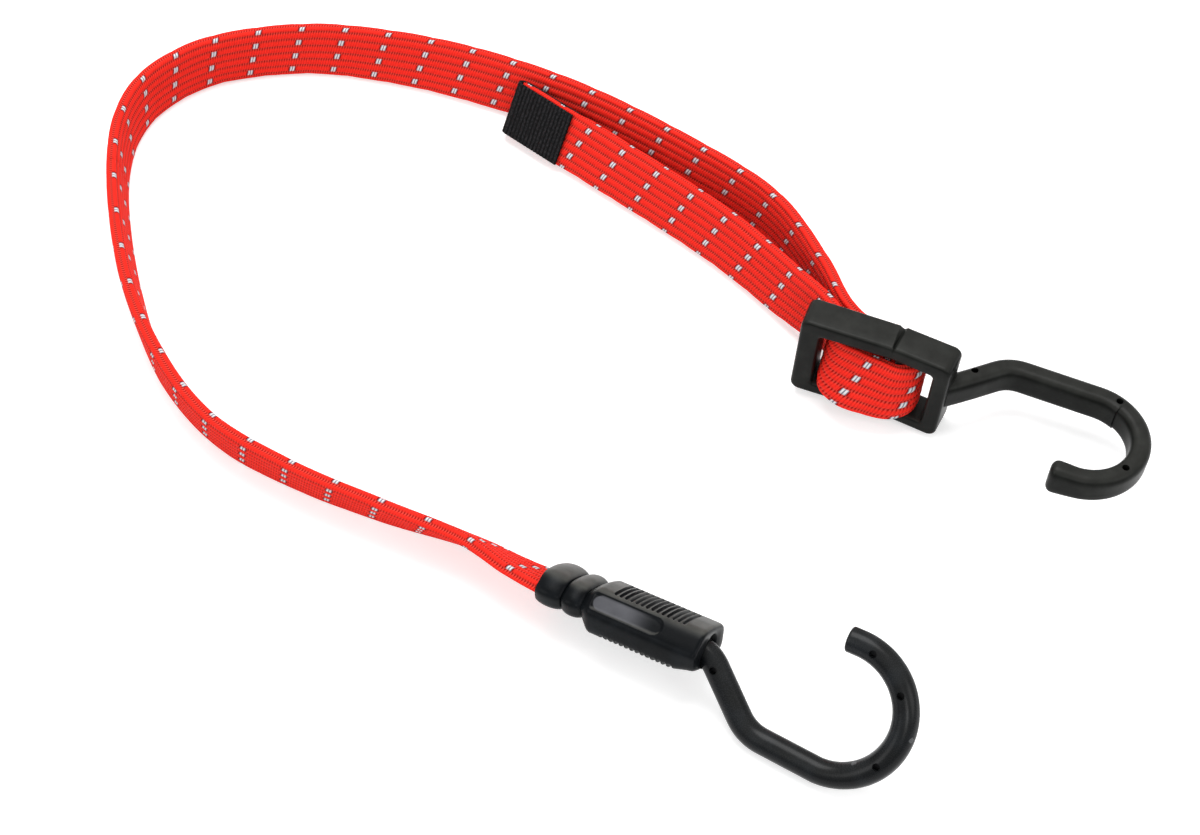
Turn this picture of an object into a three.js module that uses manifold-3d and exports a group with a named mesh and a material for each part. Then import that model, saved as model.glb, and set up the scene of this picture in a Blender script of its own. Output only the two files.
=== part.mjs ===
// A flat elastic strap with a hand grip and hook at one end and a buckle with a hook at the other.
// Millimetres, +Z up. The strap lies on edge on the ground in an open loop.
import * as THREE from 'three';
import { mergeVertices } from 'three/addons/utils/BufferGeometryUtils.js';
import Module from 'manifold-3d';

// Strap
const STRAP_WIDTH = 20;
const STRAP_THICKNESS = 4.5;
const SLEEVE_WALL = 0.85;
const STRAND_COUNT = 8;
const STRAND_SIZE = 1.7;
const FIT_GAP = 0.3;

// The strap's middle line from the grip round the loop, through the buckle and along the tail:
// x, y, height, and the lean of its top edge to the left of travel in degrees.
const ROUTE = [
  [-61.8, -27.3, 13.4, 45], [-75.8, -19.6, 12.3, 45], [-88.1, -12.9, 11.3, 45],
  [-98.4, -6.7, 10.5, 40], [-111.4, 1.9, 10.1, 30], [-138.9, 13, 10.5, 18], [-165.9, 25.6, 10.5, 13],
  [-191.4, 42.2, 10.5, 8], [-210.2, 66.2, 10.5, 2], [-224, 98.5, 10.6, 6], [-234.2, 145, 10.5, 3],
  [-234, 167.7, 10.5, 3], [-228.8, 182, 10.5, 4], [-218.5, 193.1, 10.5, 4],
  [-205.2, 200.3, 10.5, 4], [-175.3, 204.9, 10.6, 8], [-145.8, 200.9, 10.6, 15],
  [-117, 192.3, 10.5, 21], [-84, 177.2, 10.6, 20], [-50, 155, 10.6, 18], [-18.2, 129.1, 10.6, 9],
  [-3.8, 103.1, 11.8, 2], [3, 80.8, 15, 3], [7.9, 73.2, 15.9, 4], [14.4, 68.8, 15.9, 4],
  [20.5, 66.2, 15.7, 4], [24, 62.7, 15.7, 4], [24, 58.5, 15.9, 3], [21.5, 54.1, 16.1, -5],
  [15.8, 52.4, 16.3, -15], [9.2, 54.4, 16.7, -26], [2.6, 57.5, 17, -31], [-1.9, 61.7, 17.2, -20],
  [-2.5, 66.8, 17, -6], [-0.6, 71.4, 16.7, -4], [-1.3, 77.2, 16.1, -6], [-14.4, 96.2, 11.9, -18],
  [-34.8, 119.9, 10.5, -24], [-78.8, 158.1, 10.2, -30], [-100.5, 176.3, 10.2, -30],
];
const STRAP_STEP = 15;
const TIGHT_SPAN = 8;

// End tab
const TAB_LENGTH = 22;
const TAB_HEIGHT = 19;
const TAB_THICKNESS = 1.2;
const TAB_FLAT = 1;
const TAB_FOLD = 0.2;

// Hooks: a shank, two soft bends, a straight back run, a half-round bowl and a short tip
const CORE_RADIUS = 1.5;
const CORE_BORE_RADIUS = 1.95;
const CORE_START = 2;
const CORE_STOP = 4;
const HOOK_STEP = 4;
const HOOK_SOFTEN = 5;
const PIN_HOLE_RADIUS = 1.2;

// Lower hook: reaches are measured from the grip's end, and the jacket starts inside the grip
const JACKET_RADIUS = 3.8;
const JACKET_INSET = 6.1;
const JACKET_NOSE = 0.9;
const GRIP_HOOK_BOWL = 19.3;
const GRIP_HOOK_BEND = 0.2;
const GRIP_HOOK_KINK = 18;
const GRIP_HOOK_FALL = 1.6;
const GRIP_HOOK_REACH = 40.2;
const GRIP_HOOK_TIP = 3.4;
const GRIP_HOOK_PIN = { x: 4, y: -3.8 };

// Upper hook: reaches are measured from the frame's end
const BUCKLE_HOOK_BOWL = 16.7;
const BUCKLE_HOOK_WIDE = 6.4;
const BUCKLE_HOOK_TALL = 10;
const BUCKLE_HOOK_CORNER = 2.5;
const BUCKLE_HOOK_NOSE = 0.8;
const BUCKLE_HOOK_KINK = 14.75;
const BUCKLE_HOOK_FALL = 0.8;
const BUCKLE_HOOK_REACH = 42.65;
const BUCKLE_HOOK_TIP = 6.3;
const BUCKLE_HOOK_PIN = { x: 5.15, y: 6.4 };
const SHANK_RUN = 6;
const SHANK_RISE = 5.2;
const HOOK_BACK_Y = 14.2;

// Grip, in its own frame: X from the strap's entry to the hook, Z along the strap's width
const GRIP_LENGTH = 51.5;
const GRIP_HALF_WIDE = 12;
const GRIP_HALF_THICK = 7.4;
const GRIP_FLAT_HALF = 8;
const GRIP_PLACE = { x: -88.1, y: -12.9, z: 11.3, yaw: -28.7, pitch: 4, tilt: 45 };
const RIB_COUNT = 14;
const RIB_START = 22.5;
const RIB_PITCH = 1.68;
const RIB_GROOVE = 0.75;
const RIB_MARGIN = 0.5;
const CUP_DEPTH = 5.2;
const CUP_WALL = 2;
const CUP_STEP = 0.1;
const PANEL_START = 18.2;
const PANEL_END = 37;
const PANEL_HALF = 2.6;
const PANEL_DEPTH = 0.5;
const STRAP_END = 30;
const CLAMP_START = 21;
const CLAMP_PLATE = 1;
const CLAMP_HEIGHT = 14;
const CLAMP_SHOULDER = 0.8;
const CLAMP_SLOT = 6;
const CLAMP_SLOT_DROP = 3;
const FOOT_X = 34.4;

// Buckle, in its own frame: X along the frame to the hook, Y to the rear, Z up
const FRAME_LENGTH = 48.5;
const FRAME_DEPTH = 11;
const FRAME_LEFT_BAR = 6.5;
const FRAME_RIGHT_BAR = 5.2;
const FRAME_TOP_RAIL = 5.2;
const FRAME_RAIL = 4.2;
const WINDOW_CLEARANCE = 0.9;
const FRAME_BEND = 6.5;
const FRAME_BEND_X = 5.2;
const FRAME_EDGE = 1.2;
const FRAME_CORNER = 3.4;
const WINDOW_CORNER = 1.6;
const BEND_LAP = 0.6;
const NOTCH_SIZE = 1.3;
const NOTCH_RISE = 0.35;
const BAR_X = 8;
const BAR_Y = 2;
const BAR_RADIUS = 2.4;
const BAR_SEAT = 2;
const BUCKLE_PLACE = { x: 11, y: 62.1, z: 16.5, yaw: -20.5, lean: 4, roll: 2 };

const wasm = await Module();
wasm.setup();
const deg = THREE.MathUtils.degToRad;
const UP = new THREE.Vector3(0, 0, 1);

// Joins closed rings of equal count; wrap closes the last ring on the first, else flat caps are made.
function skin(rings, wrap = false) {
  const count = rings[0].length;
  const positions = rings.flat().flatMap((p) => [p.x, p.y, p.z]);
  const index = [];
  const spans = wrap ? rings.length : rings.length - 1;
  for (let r = 0; r < spans; r += 1) {
    const a = r * count;
    const b = ((r + 1) % rings.length) * count;
    for (let i = 0; i < count; i += 1) {
      const j = (i + 1) % count;
      index.push(a + i, a + j, b + j, a + i, b + j, b + i);
    }
  }
  if (!wrap) {
    const last = (rings.length - 1) * count;
    for (let i = 1; i < count - 1; i += 1) {
      index.push(0, i + 1, i, last, last + i, last + i + 1);
    }
  }
  const geometry = new THREE.BufferGeometry();
  geometry.setAttribute('position', new THREE.Float32BufferAttribute(positions, 3));
  geometry.setIndex(index);
  return faceOut(geometry);
}

function faceOut(geometry) {
  const p = geometry.attributes.position;
  const index = geometry.index.array;
  const [a, b, c] = [new THREE.Vector3(), new THREE.Vector3(), new THREE.Vector3()];
  let volume = 0;
  for (let i = 0; i < index.length; i += 3) {
    a.fromBufferAttribute(p, index[i]);
    b.fromBufferAttribute(p, index[i + 1]);
    c.fromBufferAttribute(p, index[i + 2]);
    volume += a.dot(b.cross(c));
  }
  if (volume < 0) {
    for (let i = 0; i < index.length; i += 3) {
      [index[i + 1], index[i + 2]] = [index[i + 2], index[i + 1]];
    }
  }
  return geometry;
}

function toSolid(source) {
  const plain = source.clone();
  plain.deleteAttribute('normal');
  plain.deleteAttribute('uv');
  const geometry = faceOut(mergeVertices(plain, 1e-4));
  return new wasm.Manifold(new wasm.Mesh({
    numProp: 3,
    vertProperties: new Float32Array(geometry.attributes.position.array),
    triVerts: new Uint32Array(geometry.index.array),
  }));
}

function toGeometry(manifold) {
  const mesh = manifold.getMesh();
  const geometry = new THREE.BufferGeometry();
  geometry.setAttribute('position', new THREE.BufferAttribute(mesh.vertProperties, 3));
  geometry.setIndex(new THREE.BufferAttribute(mesh.triVerts, 1));
  return geometry;
}

function circle(radius, sides) {
  return Array.from({ length: sides }, (_, i) => {
    const t = ((i + 0.5) / sides) * Math.PI * 2;
    return [radius * Math.cos(t), radius * Math.sin(t)];
  });
}

// A rectangle with rounded corners, each corner given by a few points.
function roundedBox(wide, tall, radius, perCorner) {
  const points = [];
  for (let corner = 0; corner < 4; corner += 1) {
    const sx = corner === 0 || corner === 3 ? 1 : -1;
    const sy = corner < 2 ? 1 : -1;
    for (let i = 0; i < perCorner; i += 1) {
      const t = (corner + i / (perCorner - 1)) * (Math.PI / 2);
      points.push([
        sx * (wide / 2 - radius) + radius * Math.cos(t),
        sy * (tall / 2 - radius) + radius * Math.sin(t),
      ]);
    }
  }
  return points;
}

// Carries a section's up direction along a line of points without twisting it.
function carry(points, firstUp) {
  let up = firstUp.clone();
  return points.map((at, i) => {
    const before = points[Math.max(i - 1, 0)];
    const after = points[Math.min(i + 1, points.length - 1)];
    const along = after.clone().sub(before).normalize();
    up = up.clone().addScaledVector(along, -up.dot(along)).normalize();
    return { at, along, up, side: up.clone().cross(along) };
  });
}

// A round cutter along X, from one place to another.
function bored(from, to, radius, sides, endRadius = radius) {
  const cutter = new THREE.CylinderGeometry(endRadius, radius, to - from, sides);
  cutter.rotateZ(-Math.PI / 2);
  cutter.translate((from + to) / 2, 0, 0);
  return cutter;
}

function ring(frame, outline, scale = 1, shift = 0) {
  return outline.map(([u, v]) => frame.at.clone()
    .addScaledVector(frame.side, u * scale)
    .addScaledVector(frame.up, v * scale)
    .addScaledVector(frame.along, shift));
}

function placed(object) {
  const { x, y, z } = object;
  const matrix = new THREE.Matrix4().makeTranslation(x, y, z);
  matrix.multiply(new THREE.Matrix4().makeRotationZ(deg(object.yaw)));
  return matrix;
}

const gripSeat = placed(GRIP_PLACE)
  .multiply(new THREE.Matrix4().makeRotationY(deg(-GRIP_PLACE.pitch)))
  .multiply(new THREE.Matrix4().makeRotationX(deg(GRIP_PLACE.tilt)));
const buckleSeat = placed(BUCKLE_PLACE)
  .multiply(new THREE.Matrix4().makeRotationX(deg(-BUCKLE_PLACE.lean)))
  .multiply(new THREE.Matrix4().makeRotationY(deg(BUCKLE_PLACE.roll)));

// Strap sleeve and strands
function strapFrames() {
  const curve = new THREE.CatmullRomCurve3(ROUTE.map(([x, y, z]) => new THREE.Vector3(x, y, z)));
  const spans = ROUTE.length - 1;
  const frames = [];
  for (let k = 0; k < spans; k += 1) {
    const length = curve.points[k].distanceTo(curve.points[k + 1]);
    const steps = length < TIGHT_SPAN ? 2 : Math.max(1, Math.round(length / STRAP_STEP));
    for (let s = 0; s < steps; s += 1) {
      frames.push(strapFrame(curve, k, s / steps, spans));
    }
  }
  frames.push(strapFrame(curve, spans - 1, 1, spans));
  return frames;
}

function strapFrame(curve, k, part, spans) {
  const t = (k + part) / spans;
  const along = curve.getTangent(t);
  const lean = deg(THREE.MathUtils.lerp(ROUTE[k][3], ROUTE[k + 1][3], part));
  const left = new THREE.Vector3(-along.y, along.x, 0).normalize();
  const up = left.multiplyScalar(Math.sin(lean)).addScaledVector(UP, Math.cos(lean));
  up.addScaledVector(along, -up.dot(along)).normalize();
  return { at: curve.getPoint(t), along, up, side: up.clone().cross(along) };
}

const frames = strapFrames();
const strapCorner = STRAP_THICKNESS * 0.36;
const outerOutline = roundedBox(STRAP_THICKNESS, STRAP_WIDTH, strapCorner, 2);
const innerThick = STRAP_THICKNESS - 2 * SLEEVE_WALL;
const innerOutline = roundedBox(innerThick, STRAP_WIDTH - 2 * SLEEVE_WALL, innerThick * 0.15, 2);

function strapSleeve() {
  const outer = frames.map((frame) => ring(frame, outerOutline));
  const inner = frames.map((frame) => ring(frame, innerOutline)).reverse();
  return skin([...outer, ...inner], true);
}

function rubberStrand(number) {
  const pitch = (STRAP_WIDTH - 2 * SLEEVE_WALL - FIT_GAP) / STRAND_COUNT;
  const offset = (number - (STRAND_COUNT - 1) / 2) * pitch;
  const half = STRAND_SIZE / 2;
  const square = [[half, half], [-half, half], [-half, -half], [half, -half]];
  const outline = square.map(([u, v]) => [u, v + offset]);
  return skin(frames.map((frame) => ring(frame, outline)));
}

// The tab is a strip folded over the tail's end and sewn to both faces.
function endTab() {
  const inside = STRAP_THICKNESS / 2 + FIT_GAP;
  const outside = inside + TAB_THICKNESS;
  const shape = new THREE.Shape();
  shape.moveTo(-TAB_LENGTH, inside);
  shape.lineTo(-TAB_LENGTH, outside);
  shape.lineTo(-TAB_FLAT, outside);
  shape.absarc(TAB_FOLD, 0, outside, Math.PI / 2, -Math.PI / 2, true);
  shape.lineTo(-TAB_LENGTH, -outside);
  shape.lineTo(-TAB_LENGTH, -inside);
  shape.lineTo(FIT_GAP, -inside);
  shape.absarc(FIT_GAP, 0, inside, -Math.PI / 2, Math.PI / 2, false);
  shape.lineTo(-TAB_LENGTH, inside);
  const geometry = new THREE.ExtrudeGeometry(shape, {
    depth: TAB_HEIGHT, bevelEnabled: false, curveSegments: 8,
  });
  geometry.translate(0, 0, -TAB_HEIGHT / 2);
  const end = frames[frames.length - 1];
  const basis = new THREE.Matrix4().makeBasis(end.along, end.side, end.up);
  geometry.applyMatrix4(basis.setPosition(end.at));
  return geometry;
}

// Hook lines in their own XY plane; back is +1 or -1 for the side that the straight run lies on.
function hookLine(points, bowlCentre, bowlRadius, tipLength, back) {
  const path = new THREE.Path();
  const [root, bend, kink] = points;
  const soften = HOOK_SOFTEN;
  path.moveTo(root[0], root[1]);
  const first = new THREE.Vector2(...bend).sub(new THREE.Vector2(...root)).normalize();
  const second = new THREE.Vector2(...kink).sub(new THREE.Vector2(...bend)).normalize();
  const top = [bowlCentre[0], bowlCentre[1] + back * bowlRadius];
  const third = new THREE.Vector2(...top).sub(new THREE.Vector2(...kink)).normalize();
  path.lineTo(bend[0] - first.x * soften, bend[1] - first.y * soften);
  path.quadraticCurveTo(bend[0], bend[1], bend[0] + second.x * soften, bend[1] + second.y * soften);
  path.lineTo(kink[0] - second.x * soften, kink[1] - second.y * soften);
  path.quadraticCurveTo(kink[0], kink[1], kink[0] + third.x * soften, kink[1] + third.y * soften);
  path.lineTo(top[0], top[1]);
  path.absarc(bowlCentre[0], bowlCentre[1], bowlRadius, back * Math.PI / 2, -back * Math.PI / 2, back > 0);
  path.lineTo(bowlCentre[0] - tipLength, bowlCentre[1] - back * bowlRadius);
  return path;
}

function spaced(path, from, to, step) {
  const length = path.getLength();
  const steps = Math.round((to - from) / step);
  return Array.from({ length: steps + 1 }, (_, i) => {
    const point = path.getPointAt(Math.min((from + ((to - from) * i) / steps) / length, 1));
    return new THREE.Vector3(point.x, point.y, 0);
  });
}

function pinHole([x, y], length) {
  const hole = new THREE.CylinderGeometry(PIN_HOLE_RADIUS, PIN_HOLE_RADIUS, length, 8);
  hole.rotateX(Math.PI / 2);
  hole.translate(x, y, length / 2);
  return toSolid(hole);
}

function onBowl(centre, radius, angle) {
  return [centre[0] + radius * Math.cos(deg(angle)), centre[1] + radius * Math.sin(deg(angle))];
}

const jacketStart = FOOT_X + JACKET_INSET;
const gripBowl = [GRIP_LENGTH + GRIP_HOOK_REACH, 0];
const gripKink = [GRIP_LENGTH + GRIP_HOOK_KINK, GRIP_HOOK_FALL - GRIP_HOOK_BOWL];
const gripHookPath = hookLine(
  [[jacketStart, 0], [GRIP_LENGTH + GRIP_HOOK_BEND, 0], gripKink],
  gripBowl, GRIP_HOOK_BOWL, GRIP_HOOK_TIP, -1,
);
const gripHookLength = gripHookPath.getLength();

function gripHookJacket() {
  const points = spaced(gripHookPath, 0, gripHookLength, HOOK_STEP);
  const line = carry(points, UP);
  const outer = circle(JACKET_RADIUS, 10);
  const bore = circle(CORE_BORE_RADIUS, 10);
  const tip = line[line.length - 1];
  const inside = line.slice(0, -1).map((frame) => ring(frame, bore)).reverse();
  const outside = line.slice(0, -1).map((frame) => ring(frame, outer));
  const nose = [ring(tip, outer, 0.97, -JACKET_NOSE), ring(tip, outer, 0.8, 0)];
  let body = toSolid(skin([...inside, ...outside, ...nose]));
  const holes = [-33, 34, 75].map((angle) => onBowl(gripBowl, GRIP_HOOK_BOWL, angle));
  for (const at of [[GRIP_LENGTH + GRIP_HOOK_PIN.x, GRIP_HOOK_PIN.y], ...holes]) {
    body = body.subtract(pinHole(at, JACKET_RADIUS + 1));
  }
  return toGeometry(body);
}

function gripHookCore() {
  const foot = [[FOOT_X, 0, -7], [FOOT_X, 0, -4.5], [FOOT_X, 0, -2.6], [FOOT_X + 0.8, 0, -0.8]];
  const start = foot.map((p) => new THREE.Vector3(...p));
  const shank = [[FOOT_X + 2.6, 0, 0]].map((p) => new THREE.Vector3(...p));
  const line = spaced(gripHookPath, 0, gripHookLength - CORE_STOP - 1, HOOK_STEP);
  const run = carry([...start, ...shank, ...line], new THREE.Vector3(0, 1, 0));
  return skin(run.map((frame) => ring(frame, circle(CORE_RADIUS, 8))));
}

// Pinch clip: a plate folded round the core's foot, its two legs crimped on the strap's end.
function strapClamp() {
  const inside = STRAP_THICKNESS / 2 + FIT_GAP;
  const eye = CORE_RADIUS + FIT_GAP;
  const outside = inside + CLAMP_PLATE;
  const rim = eye + CLAMP_PLATE;
  const shape = new THREE.Shape();
  shape.moveTo(CLAMP_START, inside);
  shape.lineTo(CLAMP_START, outside);
  shape.lineTo(STRAP_END + CLAMP_SHOULDER, outside);
  shape.lineTo(FOOT_X, rim);
  shape.absarc(FOOT_X, 0, rim, Math.PI / 2, -Math.PI / 2, true);
  shape.lineTo(STRAP_END + CLAMP_SHOULDER, -outside);
  shape.lineTo(CLAMP_START, -outside);
  shape.lineTo(CLAMP_START, -inside);
  shape.lineTo(STRAP_END + 2 * FIT_GAP, -inside);
  shape.lineTo(FOOT_X, -eye);
  shape.absarc(FOOT_X, 0, eye, -Math.PI / 2, Math.PI / 2, false);
  shape.lineTo(STRAP_END + 2 * FIT_GAP, inside);
  const geometry = new THREE.ExtrudeGeometry(shape, {
    depth: CLAMP_HEIGHT, bevelEnabled: false, curveSegments: 8,
  });
  geometry.translate(0, 0, -CLAMP_HEIGHT / 2);
  const slot = new THREE.BoxGeometry(CLAMP_SLOT, 2 * eye, 2 * eye + CLAMP_SLOT_DROP);
  slot.translate(FOOT_X + 2 * FIT_GAP + CLAMP_SLOT / 2, 0, -CLAMP_SLOT_DROP / 2);
  return toGeometry(toSolid(geometry).subtract(toSolid(slot)));
}

// Grip
function gripSection(x, thick, wide, round) {
  const flat = GRIP_FLAT_HALF * (wide / GRIP_HALF_WIDE);
  const faceted = [
    [0, wide], [thick * 0.16, wide * 0.985], [thick * 0.82, flat * 1.14], [thick * 0.96, flat * 0.86],
    [thick, flat * 0.4], [thick * 1.02, 0],
  ];
  const quarter = faceted.map(([y, z], i) => {
    const t = (i / 5) * (Math.PI / 2);
    const smooth = [thick * Math.sin(t), wide * Math.cos(t)];
    return [y + (smooth[0] - y) * round, z + (smooth[1] - z) * round];
  });
  const half = [...quarter, ...quarter.slice(0, 5).reverse().map(([y, z]) => [y, -z])];
  const rest = half.slice(1, -1).reverse().map(([y, z]) => [-y, z]);
  return [...half, ...rest].map(([y, z]) => new THREE.Vector3(x, y, z));
}

function handGrip() {
  const W = GRIP_HALF_WIDE;
  const T = GRIP_HALF_THICK;
  const stations = [
    [0, T - 3, W - 1.2, 1], [0.9, T - 2, W - 0.7, 1], [2.4, T - 1.1, W - 0.3, 1], [4.1, T - 0.8, W - 0.1, 1],
    [5.8, T - 1.1, W - 0.3, 1], [7.2, T - 2, W - 0.7, 1], [8.2, T - 2.5, W - 0.9, 1], [9.2, T - 1.8, W - 0.6, 1],
    [10.6, T - 0.9, W - 0.1, 1], [12.2, T - 0.6, W + 0.1, 1], [13.9, T - 0.9, W - 0.1, 1],
    [15.4, T - 1.7, W - 0.5, 1], [16.4, T - 2, W - 0.7, 0.8], [17.6, T - 1, W - 0.3, 0.3],
    [19.6, T - 0.1, W + 0.1, 0], [36, T, W, 0],
    [GRIP_LENGTH - 1.4, T - 0.1, W - 0.2, 0], [GRIP_LENGTH, T - 1, W - 1.2, 0],
  ];
  let body = toSolid(skin(stations.map(([x, thick, wide, round]) => gripSection(x, thick, wide, round))));
  const gapped = roundedBox(STRAP_THICKNESS + 2 * FIT_GAP, STRAP_WIDTH + 2 * FIT_GAP, strapCorner, 3);
  const slot = skin([-2, STRAP_END + FIT_GAP].map((x) => gapped.map(([y, z]) => new THREE.Vector3(x, y, z))));
  const pocketThick = STRAP_THICKNESS + 2 * (FIT_GAP + CLAMP_PLATE + FIT_GAP);
  const pocketStart = CLAMP_START - 2 * FIT_GAP;
  const pocketLength = FOOT_X + CORE_RADIUS + 2 * FIT_GAP + CLAMP_PLATE - pocketStart;
  const pocket = new THREE.BoxGeometry(pocketLength, pocketThick, CLAMP_HEIGHT + 2 * FIT_GAP);
  pocket.translate(pocketStart + pocketLength / 2, 0, 0);
  const wire = bored(FOOT_X, jacketStart, CORE_BORE_RADIUS, 12);
  const boreRadius = JACKET_RADIUS + FIT_GAP;
  const bore = bored(jacketStart - FIT_GAP, GRIP_LENGTH, boreRadius, 16);
  const cupRadius = GRIP_HALF_THICK - CUP_WALL;
  const cup = bored(GRIP_LENGTH - CUP_DEPTH, GRIP_LENGTH + FIT_GAP, boreRadius + CUP_STEP, 16, cupRadius);
  for (const hollow of [slot, pocket, wire, bore, cup]) body = body.subtract(toSolid(hollow));
  for (let i = 0; i < RIB_COUNT; i += 1) {
    for (const face of [-1, 1]) {
      const groove = new THREE.CylinderGeometry(RIB_GROOVE, RIB_GROOVE, 2 * (GRIP_FLAT_HALF - RIB_MARGIN), 4);
      groove.rotateX(Math.PI / 2);
      groove.translate(RIB_START + i * RIB_PITCH, face * (GRIP_HALF_THICK + 0.05), 0);
      body = body.subtract(toSolid(groove));
    }
  }
  body = body.subtract(labelRecess());
  return toGeometry(body);
}

// A shallow bare panel sunk in the facet between the upper ribbed face and the near ridge.
function labelRecess() {
  const shape = new THREE.Shape();
  shape.moveTo(PANEL_START, -PANEL_HALF);
  shape.lineTo(PANEL_END, -PANEL_HALF);
  shape.absarc(PANEL_END, 0, PANEL_HALF, -Math.PI / 2, Math.PI / 2, false);
  shape.lineTo(PANEL_START, PANEL_HALF);
  const panel = new THREE.ExtrudeGeometry(shape, { depth: 3, bevelEnabled: false, curveSegments: 6 });
  const across = new THREE.Vector2(GRIP_HALF_THICK * 0.66, -(GRIP_HALF_WIDE - GRIP_FLAT_HALF * 1.14)).normalize();
  const out = new THREE.Vector3(0, -across.y, across.x);
  const basis = new THREE.Matrix4().makeBasis(
    new THREE.Vector3(1, 0, 0), new THREE.Vector3(0, across.x, across.y).negate(), out,
  );
  const middle = new THREE.Vector3(0, GRIP_HALF_THICK * 0.49, (GRIP_HALF_WIDE * 0.985 + GRIP_FLAT_HALF * 1.14) / 2);
  basis.setPosition(middle.addScaledVector(out, -PANEL_DEPTH));
  return toSolid(panel.applyMatrix4(basis));
}

// Buckle
function halfFrame(outerX, barX, innerX) {
  const clear = STRAP_WIDTH / 2 + WINDOW_CLEARANCE;
  const top = clear + FRAME_TOP_RAIL;
  const foot = -clear - FRAME_RAIL;
  const s = Math.sign(innerX - outerX);
  const corner = FRAME_CORNER;
  const inner = WINDOW_CORNER;
  const shape = new THREE.Shape();
  shape.moveTo(innerX, top);
  shape.lineTo(outerX + s * corner, top);
  shape.quadraticCurveTo(outerX, top, outerX, top - corner);
  shape.lineTo(outerX, foot + corner);
  shape.quadraticCurveTo(outerX, foot, outerX + s * corner, foot);
  shape.lineTo(innerX, foot);
  shape.lineTo(innerX, -clear);
  shape.lineTo(barX + s * inner, -clear);
  shape.quadraticCurveTo(barX, -clear, barX, -clear + inner);
  shape.lineTo(barX, clear - inner);
  shape.quadraticCurveTo(barX, clear, barX + s * inner, clear);
  shape.lineTo(innerX, clear);
  const geometry = new THREE.ExtrudeGeometry(shape, {
    depth: FRAME_DEPTH - 2 * FRAME_EDGE,
    bevelEnabled: true,
    bevelThickness: FRAME_EDGE,
    bevelSize: FRAME_EDGE,
    bevelOffset: -FRAME_EDGE,
    bevelSegments: 2,
    curveSegments: 4,
  });
  geometry.rotateX(Math.PI / 2);
  geometry.translate(0, FRAME_DEPTH / 2 - FRAME_EDGE, 0);
  return geometry;
}

const right = FRAME_LENGTH / 2;
const bendCos = Math.cos(deg(FRAME_BEND));
const bendSin = Math.sin(deg(FRAME_BEND));
const shankRoot = [
  FRAME_BEND_X + (right - FRAME_RIGHT_BAR / 2 - FRAME_BEND_X) * bendCos,
  -(right - FRAME_RIGHT_BAR / 2 - FRAME_BEND_X) * bendSin,
];
const buckleBowl = [right + BUCKLE_HOOK_REACH, HOOK_BACK_Y - BUCKLE_HOOK_FALL - BUCKLE_HOOK_BOWL];
const shankBend = [shankRoot[0] + SHANK_RUN, shankRoot[1] + SHANK_RISE];
const buckleHookPath = hookLine(
  [shankRoot, shankBend, [right + BUCKLE_HOOK_KINK, HOOK_BACK_Y]],
  buckleBowl, BUCKLE_HOOK_BOWL, BUCKLE_HOOK_TIP, 1,
);
const buckleHookLength = buckleHookPath.getLength();

function buckleHook() {
  const left = halfFrame(-right, -right + FRAME_LEFT_BAR, FRAME_BEND_X + BEND_LAP);
  const turned = halfFrame(right, right - FRAME_RIGHT_BAR, FRAME_BEND_X - BEND_LAP);
  turned.translate(-FRAME_BEND_X, 0, 0);
  turned.rotateZ(deg(-FRAME_BEND));
  turned.translate(FRAME_BEND_X, 0, 0);
  const barLength = STRAP_WIDTH + 2 * (WINDOW_CLEARANCE + BAR_SEAT);
  const bar = new THREE.CylinderGeometry(BAR_RADIUS, BAR_RADIUS, barLength, 14);
  bar.rotateX(Math.PI / 2);
  bar.translate(BAR_X, BAR_Y, 0);
  const line = carry(spaced(buckleHookPath, 0, buckleHookLength, HOOK_STEP), UP);
  const outline = roundedBox(BUCKLE_HOOK_WIDE, BUCKLE_HOOK_TALL, BUCKLE_HOOK_CORNER, 3);
  const tip = line[line.length - 1];
  const rings = line.slice(0, -1).map((frame) => ring(frame, outline));
  rings.push(ring(tip, outline, 0.95, -BUCKLE_HOOK_NOSE), ring(tip, outline, 0.75, 0));
  const bore = carry(spaced(buckleHookPath, CORE_START, buckleHookLength - CORE_STOP, HOOK_STEP), UP);
  let body = toSolid(left).add(toSolid(turned)).add(toSolid(bar)).add(toSolid(skin(rings)));
  body = body.subtract(toSolid(skin(bore.map((frame) => ring(frame, circle(CORE_BORE_RADIUS, 8))))));
  const holes = [66, -34].map((angle) => onBowl(buckleBowl, BUCKLE_HOOK_BOWL, angle));
  for (const at of [[right + BUCKLE_HOOK_PIN.x, BUCKLE_HOOK_PIN.y], ...holes]) {
    body = body.subtract(pinHole(at, BUCKLE_HOOK_TALL));
  }
  const notch = new THREE.CylinderGeometry(NOTCH_SIZE, NOTCH_SIZE, 2 * FRAME_DEPTH, 4);
  notch.translate(FRAME_BEND_X, 0, STRAP_WIDTH / 2 + WINDOW_CLEARANCE + FRAME_TOP_RAIL + NOTCH_RISE);
  body = body.subtract(toSolid(notch));
  return toGeometry(body);
}

function buckleHookCore() {
  const start = CORE_START + 2 * FIT_GAP;
  const stop = buckleHookLength - CORE_STOP - 2 * FIT_GAP;
  const line = carry(spaced(buckleHookPath, start, stop, HOOK_STEP), UP);
  return skin(line.map((frame) => ring(frame, circle(CORE_RADIUS, 8))));
}

const model = new THREE.Group();
model.name = 'bungee_cord';

function addPiece(name, geometry, look, seat) {
  if (seat) geometry.applyMatrix4(seat);
  const mesh = new THREE.Mesh(geometry, new THREE.MeshStandardMaterial(look));
  mesh.name = name;
  model.add(mesh);
}

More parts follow.
